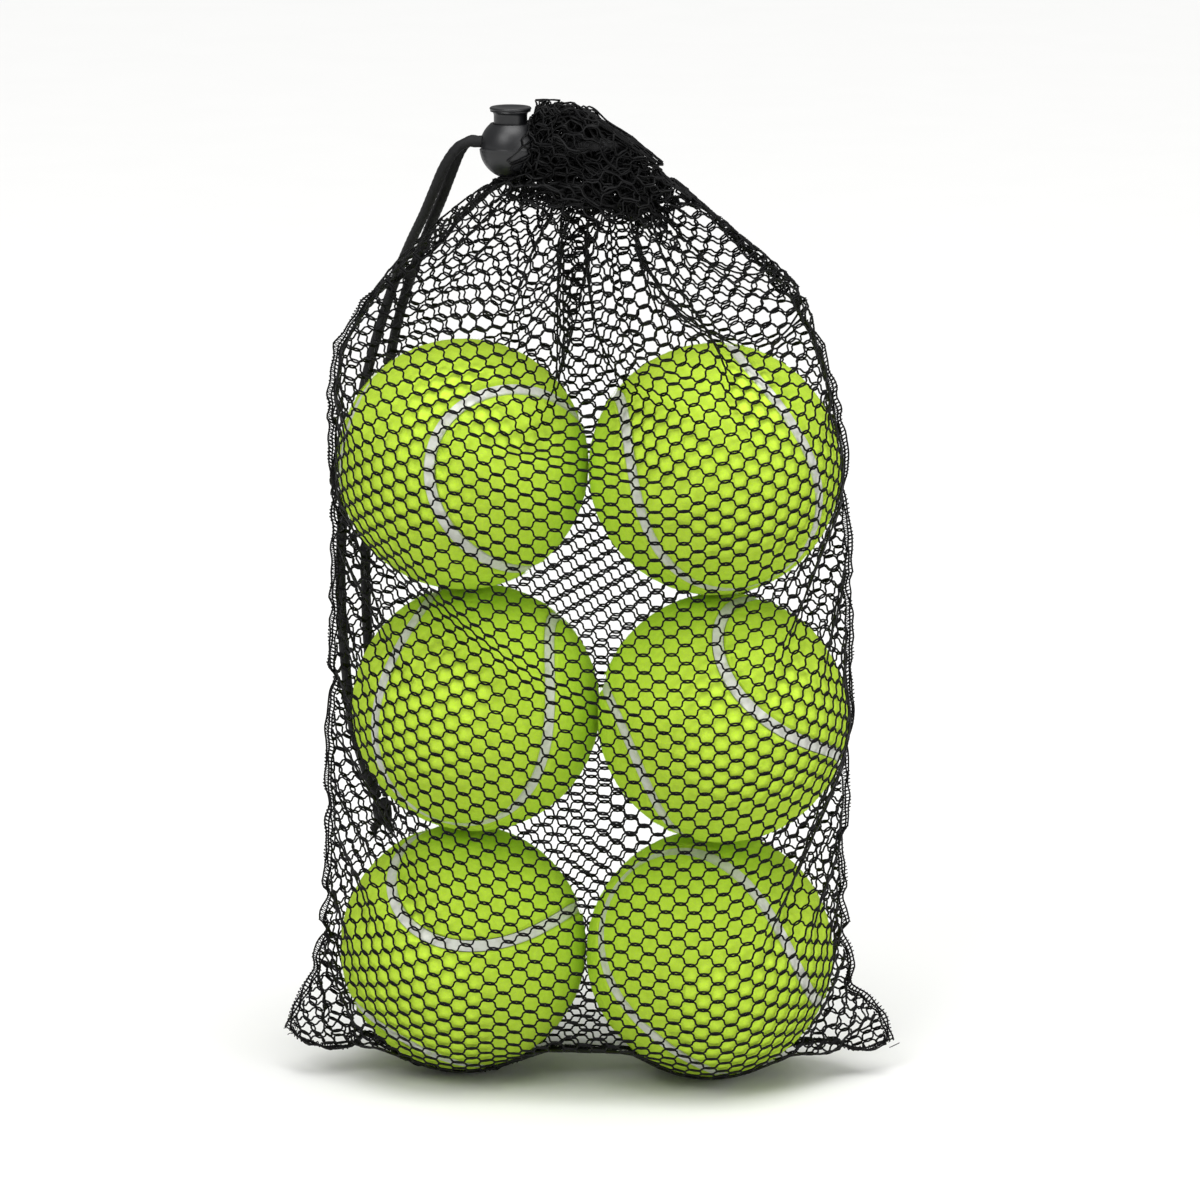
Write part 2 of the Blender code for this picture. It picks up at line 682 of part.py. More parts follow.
def lock_spring(lock):
    """The coil spring between the pocket's floor and the button."""
    low = LOCK_FLOOR - LOCK_RADIUS + SPRING_WIRE / 2 + FIT_GAP / 2
    high = button_sole() + BUTTON_SOLE * 0.6 - SPRING_WIRE / 2 - FIT_GAP / 2
    data = bpy.data.curves.new("lock_spring", "CURVE")
    data.dimensions = "3D"
    data.bevel_depth = SPRING_WIRE / 2
    data.bevel_resolution = 1
    data.use_fill_caps = True
    spline = data.splines.new("POLY")
    shares = np.linspace(0, 1, round(SPRING_TURNS * 14) + 1)
    spline.points.add(len(shares) - 1)
    for target, share in zip(spline.points, shares):
        turn = 2 * math.pi * SPRING_TURNS * share
        x, y = (SPRING_DIAMETER / 2 * wave for wave in (math.cos(turn), math.sin(turn)))
        target.co = (x, y, low + (high - low) * share, 1.0)
    add_object("lock_spring", data, SPRING_STEEL, lock)


def add_closure():
    lock = add_empty("cord_lock_centre", LOCK_CENTRE)
    mouth_hem()
    drawcord_loop()
    lock_housing(lock)
    lock_button(lock)
    lock_spring(lock)
    cord_tails(lock)


clear_scene()
add_balls()
add_net()
add_closure()
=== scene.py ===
"""Looks for a knitted net ball bag: the net and its seams, the gathered mouth, the drawcord with
its cord lock, and six felt balls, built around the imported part. Metres, +Z up, front facing -Y."""

import functools
import json
import math

import bmesh
import bpy
import numpy as np
from bpy.props import FloatProperty, FloatVectorProperty, IntProperty, PointerProperty
from bpy.types import Operator, Panel, PropertyGroup
from mathutils import Euler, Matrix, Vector


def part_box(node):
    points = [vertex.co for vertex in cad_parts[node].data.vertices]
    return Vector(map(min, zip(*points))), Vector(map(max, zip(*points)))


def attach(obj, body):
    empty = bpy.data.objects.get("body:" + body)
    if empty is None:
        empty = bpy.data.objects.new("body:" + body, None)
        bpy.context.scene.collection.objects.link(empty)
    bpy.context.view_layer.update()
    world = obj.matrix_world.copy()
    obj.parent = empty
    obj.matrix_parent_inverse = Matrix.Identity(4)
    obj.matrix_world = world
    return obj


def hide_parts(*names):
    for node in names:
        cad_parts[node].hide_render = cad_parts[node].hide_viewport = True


bl_info = {
    "name": "Net Ball Bag",
    "version": (1, 0, 0),
    "blender": (4, 5, 0),
    "location": "3D View > Sidebar > Ball Bag",
    "description": "A knitted net bag with a drawcord, a cord lock and six felt balls",
    "category": "Object",
}

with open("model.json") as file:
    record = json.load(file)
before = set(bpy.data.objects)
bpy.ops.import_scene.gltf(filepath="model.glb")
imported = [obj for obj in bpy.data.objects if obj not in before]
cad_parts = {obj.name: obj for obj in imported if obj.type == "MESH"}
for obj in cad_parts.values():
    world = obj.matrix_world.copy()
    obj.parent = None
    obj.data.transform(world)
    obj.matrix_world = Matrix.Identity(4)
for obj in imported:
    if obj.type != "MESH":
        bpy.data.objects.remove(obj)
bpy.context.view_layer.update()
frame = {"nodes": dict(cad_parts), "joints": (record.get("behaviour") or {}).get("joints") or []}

MM = 0.001
HOLDER = "bag"
LOCK_BODY = "cord_lock"
BUTTON_BODY = "lock_button_body"

# Ball centres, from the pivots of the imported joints.
BALL_CENTRES = {
    joint["child"]: np.array(joint["pos_m"])
    for joint in frame["joints"]
    if joint["name"].endswith("_spin")
}

# How each ball lies, as turns about X, Y and Z in degrees.
BALL_LIES = {
    "ball_top_left": (55, 42, -70),
    "ball_top_right": (19, -12, -40),
    "ball_middle_left": (-172, -6, 126),
    "ball_middle_right": (111, -8, 147),
    "ball_bottom_left": (84, 22, 145),
    "ball_bottom_right": (-139, 14, -137),
}

LOCK_LOW, LOCK_HIGH = (np.array(corner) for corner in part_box("lock_housing"))
LOCK_RADIUS = (LOCK_HIGH[0] - LOCK_LOW[0]) / 2
LOCK_CENTRE = np.array([*(LOCK_LOW[:2] + LOCK_HIGH[:2]) / 2, LOCK_LOW[2] + LOCK_RADIUS])
NECK_CENTRE = np.array([0.0010, 0.0, 0.2462])

# Routes of the two cord tails, from the lock over the shoulder and down outside the back panel.
TAIL_A = (
    (-0.0298, -0.00155, 0.2534), (-0.0322, -0.00155, 0.2534), (-0.0352, -0.0012, 0.2516),
    (-0.0384, 0.0006, 0.2467), (-0.0412, 0.0045, 0.2400), (-0.0442, 0.0105, 0.2325),
    (-0.0480, 0.0180, 0.2240), (-0.0520, 0.0250, 0.2140), (-0.0560, 0.0295, 0.2020),
    (-0.0600, 0.0310, 0.1880), (-0.0635, 0.0297, 0.1720), (-0.0662, 0.0270, 0.1560),
    (-0.0675, 0.0238, 0.1390), (-0.0675, 0.0240, 0.1220), (-0.0665, 0.0260, 0.1050),
    (-0.0650, 0.0285, 0.0900), (-0.0620, 0.0330, 0.0770), (-0.0591, 0.0372, 0.0680),
)
TAIL_B = (
    (-0.0298, 0.00155, 0.2534), (-0.0318, 0.00155, 0.2534), (-0.0342, 0.0022, 0.2506),
    (-0.0367, 0.0048, 0.2443), (-0.0394, 0.0095, 0.2370), (-0.0424, 0.0155, 0.2295),
    (-0.0456, 0.0222, 0.2210), (-0.0491, 0.0285, 0.2110), (-0.0524, 0.0325, 0.1990),
    (-0.0552, 0.0347, 0.1850), (-0.0577, 0.0345, 0.1690), (-0.0598, 0.0328, 0.1530),
    (-0.0612, 0.0317, 0.1370), (-0.0612, 0.0325, 0.1210), (-0.0605, 0.0335, 0.1050),
    (-0.0596, 0.0347, 0.0900), (-0.0580, 0.0370, 0.0780), (-0.0563, 0.0385, 0.0680),
)
CORD_RING_RADIUS = 0.0080
CORD_HEIGHT = 0.2532
CORD_AXIS_X = 0.0005

# The drape: a closed tube of net on a grid, columns round it and rows up it.
COLUMNS, ROWS = 116, 100
HALF = COLUMNS // 2
HEM_TURN = 0.0150  # net above the drawcord
NET_RADIUS = 0.0338  # of the net's middle where it lies on a ball
BOTTOM_CENTRE = 0.0346  # height of the lowest balls' centres
UNDER_ROWS = 14  # rows from the bottom seam that lie under the balls
SEAM_LIFT = 0.0075  # of the bottom seam beside the balls

# Where the stitched sides hold the shoulders out: height, then X of the left and the right side.
SHOULDERS = (
    (0.1850, -0.0675, 0.0630), (0.1990, -0.0655, 0.0588), (0.2110, -0.0580, 0.0528),
    (0.2200, -0.0488, 0.0455), (0.2280, -0.0395, 0.0378), (0.2370, -0.0305, 0.0290),
    (0.2430, -0.0240, 0.0225),
)

# The gathered bunch round the drawcord: its centre, its half widths at the cord and the length of
# a fold; at places along that length, how far it spreads and how high it is; and each fold's share
# of the width and how far up it starts.
BUNCH_CENTRE = (-0.0022, 0.0)
BUNCH_HALF = (0.0180, 0.0100)
BUNCH_RISE = 0.0330
BUNCH_RUN = (0.0, 0.008, 0.014, 0.022, 0.028, 0.033)
BUNCH_SPREAD = (1.28, 1.08, 1.0, 0.95, 0.74, 0.50)
BUNCH_HEIGHT = (0.2345, 0.2415, 0.2470, 0.2550, 0.2598, 0.2610)
HEM_FOLDS = (
    (1.06, 0.004), (0.94, 0.0), (0.88, 0.002), (0.82, 0.004), (0.74, 0.0),
    (0.66, 0.003), (0.56, 0.001), (0.46, 0.004), (0.35, 0.002), (0.23, 0.004),
)
# The bunch's top slopes down to the right shoulder: it starts here, with this fall.
SLOPE_START, SLOPE_TOP, SLOPE_FALL = -0.0040, 0.2632, 0.80

# Each side's sewn edge, from the ear's tip up to the shoulder: X, Y and height.
LEFT_EDGE = (
    (-0.0805, 0.002, 0.0115), (-0.0798, 0.002, 0.0158), (-0.0745, 0.002, 0.0248),
    (-0.0713, 0.003, 0.0360), (-0.0702, 0.003, 0.0640), (-0.0692, 0.003, 0.0900),
    (-0.0680, 0.003, 0.1200), (-0.0667, 0.003, 0.1500),
)
RIGHT_EDGE = (
    (0.0790, 0.002, 0.0085), (0.0772, 0.002, 0.0152), (0.0685, 0.001, 0.0245),
    (0.0670, 0.000, 0.0360), (0.0660, -0.001, 0.0640), (0.0668, -0.001, 0.0900),
    (0.0672, -0.001, 0.1200), (0.0662, 0.000, 0.1500),
)


def linear(code):
    """An sRGB hex colour as linear red, green and blue."""
    parts = np.array([int(code[i : i + 2], 16) for i in (1, 3, 5)]) / 255
    bright = ((parts + 0.055) / 1.055) ** 2.4
    return tuple(float(x) for x in np.where(parts <= 0.04045, parts / 12.92, bright))


def colour(name, description, code):
    return FloatVectorProperty(
        name=name, description=description, default=linear(code), subtype="COLOR", min=0, max=1
    )


def length(name, description, default):
    return FloatProperty(
        name=name, description=description, default=default, min=0, precision=5,
        unit="LENGTH", subtype="DISTANCE",
    )


# ---------------------------------------------------------------- properties


class BagNet(PropertyGroup):
    girth: length("Girth", "Length round the flat net tube", 0.344)
    height: length("Height", "Length of the net tube from bottom seam to top edge", 0.292)
    cell: length("Cell height", "Height of one cell of the knit", 0.0047)
    cells_round: IntProperty(
        name="Cells round", description="Half cells round the tube", default=94
    )
    joint: length("Joint", "Length along which two neighbouring threads lie together", 0.0028)
    thread: length("Thread", "Diameter of the knitted thread", 0.00050)
    steps: IntProperty(name="Steps", description="Steps of the drape", default=300, min=1)
    tint: colour("Thread colour", "Colour of the dyed thread", "#060607")


class BagCord(PropertyGroup):
    diameter: length("Diameter", "Diameter of the braided drawcord", 0.0028)
    lay: length("Lay", "Length in which one carrier goes round the cord once", 0.0085)
    tint: colour("Cord colour", "Colour of the braid", "#08080a")


class BagLock(PropertyGroup):
    tint: colour("Plastic colour", "Colour of the moulded cord lock", "#0b0c0f")
    wire_tint: colour("Spring colour", "Colour of the spring wire", "#b9bcc0")


class BagBalls(PropertyGroup):
    radius: length("Radius", "Radius of a ball over its felt", 0.0331)
    felt_depth: length("Felt depth", "Thickness of the felt", 0.0027)
    seam_width: length("Seam width", "Width of the glued seam", 0.0030)
    seam_recess: length("Seam recess", "How far the seam lies below the felt", 0.0004)
    felt_tint: colour("Felt colour", "Colour of the felt", "#cdf03c")
    # Darker felt colour: a random mottle laid by the same noise as the felt's bump, so it also
    # paints shade into the nap's hollows.
    felt_mottle_and_hollow_shade: colour("Felt shade", "Colour in the felt's hollows", "#bfe52b")
    seam_tint: colour("Seam colour", "Colour of the seam", "#d2d4cb")
    core_tint: colour("Core colour", "Colour of the rubber core", "#3a3b38")


class BagStage(PropertyGroup):
    floor_tint: colour("Floor colour", "Colour of the floor", "#e3e3e2")
    lens: FloatProperty(
        name="Lens", description="Focal length of the camera", default=157.88, unit="CAMERA"
    )
    camera_height: length("Camera height", "Height of the camera", 0.4371)
    camera_distance: length("Camera distance", "Distance of the camera in front", 1.3586)
    camera_tilt: FloatProperty(
        name="Camera tilt", description="Turn of the camera down from level",
        default=math.radians(12.68), subtype="ANGLE",
    )


# ---------------------------------------------------------------- nodes and materials


def add_node(tree, kind, inputs=None, **settings):
    """One node, with its settings, its input values and the sockets that feed its inputs."""
    node = tree.nodes.new(kind)
    for name, value in settings.items():
        setattr(node, name, value)
    for name, value in (inputs or {}).items():
        if isinstance(value, bpy.types.NodeSocket):
            tree.links.new(value, node.inputs[name])
        else:
            node.inputs[name].default_value = value
    return node


def new_material(name, **shader):
    """A material with its Principled shader, whose constant inputs are set on its own sockets."""
    material = bpy.data.materials.new(name)
    material.use_nodes = True
    tree = material.node_tree
    tree.nodes.clear()
    surface = add_node(tree, "ShaderNodeBsdfPrincipled", shader)
    output = add_node(tree, "ShaderNodeOutputMaterial", {"Surface": surface.outputs["BSDF"]})
    output.location = (300, 0)
    return material, tree, surface


def rgba(tint, share=1.0):
    return (*(min(1.0, part * share) for part in tint), 1.0)


def mottled(tree, surface, grain_mm, dark, light, contrast=(0.3, 0.7), detail=4.0):
    """Colour between two tints by noise of this grain size on Object coordinates."""
    place = add_node(tree, "ShaderNodeTexCoord").outputs["Object"]
    scale = 1 / (grain_mm * MM)
    noise = add_node(
        tree, "ShaderNodeTexNoise", {"Vector": place, "Scale": scale, "Detail": detail}
    )
    ramp = add_node(tree, "ShaderNodeValToRGB", {"Fac": noise.outputs["Fac"]})
    low, high = ramp.color_ramp.elements
    low.position, high.position = contrast
    low.color, high.color = dark, light
    tree.links.new(ramp.outputs["Color"], surface.inputs["Base Color"])
    return place, noise


def bumped(tree, surface, height, depth, distance_mm):
    """Bump on the shader from a height socket, this deep."""
    bump = add_node(
        tree, "ShaderNodeBump",
        {"Height": height, "Strength": depth, "Distance": distance_mm * MM},
    )
    tree.links.new(bump.outputs["Normal"], surface.inputs["Normal"])


def grained(name, tint, grain_mm, shades, bump, depth_mm, **shader):
    """A material whose shade and bump both follow one noise of this grain."""
    material, tree, surface = new_material(name, **shader)
    _, noise = mottled(tree, surface, grain_mm, *(rgba(tint, share) for share in shades))
    bumped(tree, surface, noise.outputs["Fac"], bump, depth_mm)
    return material


def added(tree, first, second):
    return add_node(
        tree, "ShaderNodeMath", {0: first, 1: second}, operation="ADD"
    ).outputs["Value"]


def knitted_polyester(tint):
    """Dyed multifilament polyester: a dull black with fine filament lines."""
    material, tree, surface = new_material(
        "knitted_polyester",
        **{"Roughness": 0.55, "IOR": 1.54, "Specular IOR Level": 0.16},
    )
    place, _ = mottled(tree, surface, 3.0, rgba(tint, 0.7), rgba(tint, 1.6))
    # Filaments are 0.02 mm; they are drawn at 0.12 mm so that they catch the light.
    fine = add_node(tree, "ShaderNodeTexNoise", {"Vector": place, "Scale": 1 / (0.12 * MM)})
    bumped(tree, surface, fine.outputs["Fac"], 0.4, 0.05)
    return material


def braided_polyester(tint, lay):
    """Braided cord: matt yarn with filament lines that follow each carrier round the cord."""
    material, tree, surface = new_material(
        "braided_polyester",
        **{"Roughness": 0.7, "IOR": 1.54, "Specular IOR Level": 0.3},
    )
    place, noise = mottled(tree, surface, 1.2, rgba(tint, 0.6), rgba(tint, 1.7))
    around = add_node(tree, "ShaderNodeUVMap", uv_map="cord")
    stretched = add_node(
        tree, "ShaderNodeMapping", {"Vector": around.outputs["UV"], "Scale": (60.0, 6000.0, 1.0)}
    )
    yarn = add_node(
        tree, "ShaderNodeTexWave",
        {"Vector": stretched.outputs["Vector"], "Scale": 0.35, "Distortion": 1.5},
        bands_direction="DIAGONAL",
    )
    bumped(tree, surface, added(tree, yarn.outputs["Fac"], noise.outputs["Fac"]), 0.5, 0.08)
    return material


def moulded_polypropylene(tint):
    """Injection-moulded polypropylene from a spark-eroded mould: satin, with a fine even grain."""
    material, tree, surface = new_material(
        "moulded_polypropylene", **{"IOR": 1.49, "Coat Weight": 0.05, "Coat Roughness": 0.35}
    )
    place, noise = mottled(tree, surface, 4.0, rgba(tint, 0.85), rgba(tint, 1.2))
    # The mould's grain is 0.05 mm; it is drawn at 0.25 mm to show.
    grain = add_node(tree, "ShaderNodeTexVoronoi", {"Vector": place, "Scale": 1 / (0.25 * MM)})
    rough = add_node(
        tree, "ShaderNodeMapRange", {"Value": noise.outputs["Fac"], "To Min": 0.34, "To Max": 0.5}
    )
    tree.links.new(rough.outputs["Result"], surface.inputs["Roughness"])
    bumped(tree, surface, grain.outputs["Distance"], 0.25, 0.03)
    return material


def drawn_spring_steel(tint):
    """Drawn spring steel wire: bright, with die lines along it."""
    shader = {"Metallic": 1.0, "Roughness": 0.28}
    return grained("drawn_spring_steel", tint, 0.8, (0.75, 1.0), 0.2, 0.01, **shader)


def needled_felt(tint, shade):
    """Wool and nylon felt, woven and napped: matt and bright, with a soft edge of raised fibres."""
    material, tree, surface = new_material(
        "needled_felt",
        **{"Roughness": 0.95, "IOR": 1.5, "Specular IOR Level": 0.25, "Sheen Weight": 0.5,
           "Sheen Roughness": 0.45, "Sheen Tint": rgba(tint)},
    )
    # Colour runs from the darker felt colour to the felt colour by the noise that also raises the
    # bump: random tone, and painted shade in the nap's hollows.
    place, noise = mottled(tree, surface, 1.6, rgba(shade), rgba(tint), (0.36, 0.6), 6.0)
    # Fibres are 0.03 mm; they are drawn at 0.3 mm, tangled by a coarser noise.
    fibres = add_node(
        tree, "ShaderNodeTexNoise",
        {"Vector": place, "Scale": 1 / (0.3 * MM), "Detail": 5.0, "Distortion": 1.2},
    )
    bumped(tree, surface, added(tree, fibres.outputs["Fac"], noise.outputs["Fac"]), 0.7, 0.25)
    # Single darker and warmer fibres speckle the colour.
    speck = add_node(
        tree, "ShaderNodeMapRange",
        {"Value": fibres.outputs["Fac"], "From Min": 0.35, "From Max": 0.62},
    )
    ground = surface.inputs["Base Color"].links[0].from_socket
    warm = (*(part * 0.80 for part in tint[:2]), tint[2] * 1.6, 1.0)
    mix = add_node(
        tree, "ShaderNodeMix", {"Factor": speck.outputs["Result"], 6: warm, 7: ground},
        data_type="RGBA",
    )
    tree.links.new(mix.outputs[2], surface.inputs["Base Color"])
    return material


def vulcanised_seam(tint):
    """Cured rubber cement in the groove between the panels: pale, dull, slightly uneven."""
    shader = {"Roughness": 0.7, "IOR": 1.52, "Specular IOR Level": 0.35}
    return grained("vulcanised_seam", tint, 1.5, (0.88, 1.06), 0.4, 0.1, **shader)


def pressed_rubber(tint):
    """Press-moulded natural rubber: dark and matt, with a light bloom."""
    shader = {"Roughness": 0.8, "IOR": 1.52}
    return grained("pressed_rubber", tint, 2.5, (0.8, 1.3), 0.3, 0.05, **shader)


def painted_board(tint):
    """A matt painted board to stand on."""
    material, tree, surface = new_material("painted_board", **{"Roughness": 0.9})
    mottled(tree, surface, 60.0, rgba(tint, 0.99), rgba(tint, 1.0))
    return material


# ---------------------------------------------------------------- mesh helpers


def unit(vectors):
    return vectors / (np.linalg.norm(vectors, axis=-1, keepdims=True) + 1e-12)


def grid_faces(rows, columns, closed_rows=False, closed_columns=False):
    """Corners of the quads of a grid numbered row by row, joined up where it closes."""
    i = np.arange(rows if closed_rows else rows - 1)[:, None]
    j = np.arange(columns if closed_columns else columns - 1)[None, :]
    below, right = (i + 1) % rows, (j + 1) % columns
    corners = (i * columns + j, i * columns + right, below * columns + right, below * columns + j)
    return np.stack(np.broadcast_arrays(*corners), axis=-1).reshape(-1, 4)


def mesh_from(name, points, faces, uv=None, weld=1e-7, turn_out=True):
    """A mesh of quads. Points that fall together become one, and the faces are turned outwards."""
    mesh = bpy.data.meshes.new(name)
    mesh.vertices.add(len(points))
    mesh.vertices.foreach_set("co", np.asarray(points, np.float32).ravel())
    mesh.loops.add(faces.size)
    mesh.loops.foreach_set("vertex_index", faces.ravel().astype(np.int32))
    mesh.polygons.add(len(faces))
    mesh.polygons.foreach_set("loop_start", np.arange(0, faces.size, 4, dtype=np.int32))
    mesh.update(calc_edges=True)
    if uv is not None:
        layer = mesh.uv_layers.new(name="cord")
        layer.data.foreach_set("uv", np.asarray(uv, np.float32).ravel())
    work = bmesh.new()
    work.from_mesh(mesh)
    bmesh.ops.remove_doubles(work, verts=work.verts, dist=weld)
    bmesh.ops.dissolve_degenerate(work, edges=work.edges, dist=weld)
    if turn_out:
        bmesh.ops.recalc_face_normals(work, faces=work.faces)
    work.to_mesh(mesh)
    work.free()
    mesh.shade_smooth()
    return mesh


def add_piece(name, shape, finish, body, slot, *nodes):
    """A mesh, or points and faces made into one, as a piece that rides on a body, takes this finish
    and stands for these nodes, which it hides. The slot is not used."""
    mesh = shape if isinstance(shape, bpy.types.Mesh) else mesh_from(name, *shape)
    piece = bpy.data.objects.new(mesh.name, mesh)
    bpy.context.scene.collection.objects.link(piece)
    mesh.materials.append(finish)
    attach(piece, body)
    if nodes:
        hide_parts(*nodes)
    return piece


def joined(parts):
    """Several (points, faces) as one, with the faces renumbered."""
    starts = np.cumsum([0] + [len(points) for points, _ in parts[:-1]])
    points = np.concatenate([points for points, _ in parts])
    return points, np.concatenate([faces + start for (_, faces), start in zip(parts, starts)])


def tubes(paths, facing, radius, sides, relief=None, capped=True):
    """Tubes along many paths at once, of the shape (tube, station, 3): round each station a polygon
    across the path, turned so that its sides stand square to the facing directions. Uncapped ones
    are for threads that end inside a seam."""
    along = unit(np.gradient(paths, axis=1))
    side = unit(np.cross(along, facing))
    up = np.cross(side, along)
    turns = (np.arange(sides) + 0.5) * 2 * np.pi / sides
    rim = side[:, :, None] * np.cos(turns)[:, None] + up[:, :, None] * np.sin(turns)[:, None]
    size = radius if relief is None else radius * relief
    rings = paths[:, :, None] + rim * (size if np.isscalar(size) else size[..., None])
    if capped:
        ends = [np.repeat(paths[:, [at]][:, :, None], sides, axis=2) for at in (0, -1)]
        rings = np.concatenate([ends[0], rings, ends[1]], axis=1)
    count, stations = rings.shape[:2]
    one = grid_faces(stations, sides, closed_columns=True)
    faces = (one[None] + (np.arange(count) * stations * sides)[:, None, None]).reshape(-1, 4)
    return rings.reshape(-1, 3), faces


def carried(path):
    """A direction across the path at each station, carried along it without twist."""
    along = unit(np.gradient(path, axis=0))
    facing = [unit(np.cross(along[0], (0.0, 1.0, 0.0)))]
    for step in along[1:]:
        facing.append(unit(facing[-1] - step * (facing[-1] @ step)))
    return np.array(facing)


def run_of(path):
    return np.concatenate([[0], np.cumsum(np.linalg.norm(np.diff(path, axis=0), axis=1))])


def at_run(places, run, values):
    """Points or directions given along a run, at other places along it."""
    return np.stack([np.interp(places, run, axis) for axis in values.T], axis=1)


def strand(path, radius, sides):
    """One capped tube along a path."""
    return tubes(path[None], carried(path)[None], radius, sides)


def smooth_route(points, spacing):
    """Points this far apart on a Catmull-Rom curve through a route's own points."""
    route = np.array(points, float)
    route = np.vstack([2 * route[0] - route[1], route, 2 * route[-1] - route[-2]])
    share = np.linspace(0, 1, 40, endpoint=False)[:, None]
    pieces = []
    for a, b, c, d in zip(route[:-3], route[1:-2], route[2:-1], route[3:]):
        bend = (2 * a - 5 * b + 4 * c - d) * share**2 + (3 * b - a - 3 * c + d) * share**3
        pieces.append(b + 0.5 * ((c - a) * share + bend))
    curve = np.vstack([*pieces, route[-2:-1]])
    run = run_of(curve)
    places = np.linspace(0, run[-1], max(2, round(run[-1] / spacing)) + 1)
    return at_run(places, run, curve)


def lathe(profile, centre, steps):
    """A profile of (radius, height) carried round the vertical through the centre."""
    radius, height = np.array(profile, float).T
    turns = np.linspace(0, 2 * np.pi, steps, endpoint=False)
    rings = np.stack(
        [radius[:, None] * np.cos(turns), radius[:, None] * np.sin(turns),
         np.broadcast_to(height[:, None], (len(radius), steps))], axis=-1,
    )
    return (rings + centre).reshape(-1, 3), grid_faces(len(radius), steps, closed_columns=True)


def arc(radius, start, end, steps, middle=(0.0, 0.0)):
    """Points (across, up) on a circle between two angles in degrees."""
    turns = np.radians(np.linspace(start, end, steps))
    across, up = middle
    return [(across + radius * math.cos(a), up + radius * math.sin(a)) for a in turns]


def smooth_noise(shape_u, shape_v, seed, count, longest, shortest):
    """A sum of cosine waves in random directions over two coordinates in metres, about -1 to 1."""
    rng = np.random.default_rng(seed)
    total = 0.0
    for _ in range(count):
        wave = rng.uniform(shortest, longest)
        turn, phase = rng.uniform(0, 2 * np.pi, 2)
        across = shape_u * math.cos(turn) + shape_v * math.sin(turn)
        total = total + np.cos(2 * np.pi * across / wave + phase)
    return total / math.sqrt(count)


# ---------------------------------------------------------------- the drape


def wrapped_start(girth, height):
    """Where the drape starts: each row a stadium of the tube's girth, hugging the balls from the
    bottom seam up and narrowing in depth towards the mouth."""
    v = np.linspace(0, height, ROWS)
    reach, column = 0.035, 0.133  # the stack's half depth, and its height between round ends
    wrap = np.pi / 2 * reach
    rise = (v - wrap - column) / (height - wrap - column)
    depth = np.where(
        v < wrap, reach * np.sin(v / reach),
        np.where(rise < 0, reach, reach * (1 - rise) + 0.006 * rise),
    )
    z = np.where(
        v < wrap, reach * (1 - np.cos(v / reach)),
        np.where(rise < 0, reach + v - wrap, 0.168 + (v - wrap - column) * 0.92),
    )
    straight = ((girth - 2 * np.pi * depth) / 4)[:, None]
    depth = np.maximum(depth, 1e-5)[:, None]
    u = (np.arange(COLUMNS) * girth / COLUMNS)[None, :]
    front = u <= girth / 2
    q = np.where(front, u, girth - u)
    bend = np.pi * depth / 2
    last = (q - bend - 2 * straight) / depth
    x = np.where(
        q < bend, -straight - depth * np.cos(q / depth),
        np.where(q < bend + 2 * straight, q - bend - straight, straight + depth * np.sin(last)),
    )
    y = np.where(
        q < bend, depth * np.sin(q / depth),
        np.where(q < bend + 2 * straight, depth, depth * np.cos(last)),
    )
    y = np.where(front, -y, y)
    turn = np.radians(-7) * np.clip(z / 0.03, 0, 1)[:, None]
    net = np.empty((ROWS, COLUMNS, 3))
    net[..., 0] = x * np.cos(turn) - y * np.sin(turn)
    net[..., 1] = x * np.sin(turn) + y * np.cos(turn)
    net[..., 2] = z[:, None]
    return net


def ties(girth, height):
    """Groups of grid points tied at a rest distance, none twice in a group: each is
    (first points, second points, distance, pull when longer, push when shorter)."""
    number = np.arange(ROWS * COLUMNS).reshape(ROWS, COLUMNS)
    across, up = girth / COLUMNS, height / (ROWS - 1)
    column, row = np.arange(COLUMNS), np.arange(ROWS)
    groups = []

    def tie(first, second, *values):
        groups.append((first.ravel(), second.ravel(), *values))

    for start in (0, 1):
        pick = column[start::2]
        tie(number[:, pick], number[:, (pick + 1) % COLUMNS], across, 0.9, 0.55)
    for start in (0, 1):
        pick = row[start : ROWS - 1 : 2]
        tie(number[pick], number[pick + 1], up, 0.9, 0.55)
    for start in (0, 1):
        pick = row[start : ROWS - 1 : 2]
        for shift in (1, -1):
            slanted = np.roll(number, -shift, axis=1)[pick + 1]
            tie(number[pick], slanted, math.hypot(across, up), 0.12, 0.10)
    for start in (0, 2):
        pick = column[(column - start) % 4 < 2]
        tie(number[:, pick], number[:, (pick + 2) % COLUMNS], 2 * across, 0.0, 0.05)
        pick = row[: ROWS - 2][(row[: ROWS - 2] - start) % 4 < 2]
        tie(number[pick], number[pick + 2], 2 * up, 0.0, 0.05)
    return groups


def push_off_cord(points, clearance):
    """Moves points out of a round hull of this radius about both cord tails."""
    flat = points.reshape(-1, 3)
    for tail in (TAIL_A, TAIL_B):
        route = np.array(tail)
        for a, b in zip(route[4:-1], route[5:]):
            share = np.clip((flat - a) @ (b - a) / ((b - a) @ (b - a)), 0, 1)[:, None]
            away = flat - (a + share * (b - a))
            gap = np.linalg.norm(away, axis=1)
            near = gap < clearance
            flat[near] += away[near] * ((clearance / gap[near]) - 1)[:, None]
    return flat.reshape(points.shape)


def push_off_ball(points, centre, radius):
    away = points - centre
    gap = np.linalg.norm(away, axis=-1)
    near = gap < radius
    points[near] = centre + away[near] * (radius / gap[near])[:, None]


def under_slope(points, rise=0.0):
    """Presses what stands above the bunch's sloping top most of the way down to it, in place."""
    top = SLOPE_TOP + rise - SLOPE_FALL * np.maximum(points[..., 0] - SLOPE_START, 0)
    points[..., 2] -= 0.75 * np.maximum(points[..., 2] - top, 0)


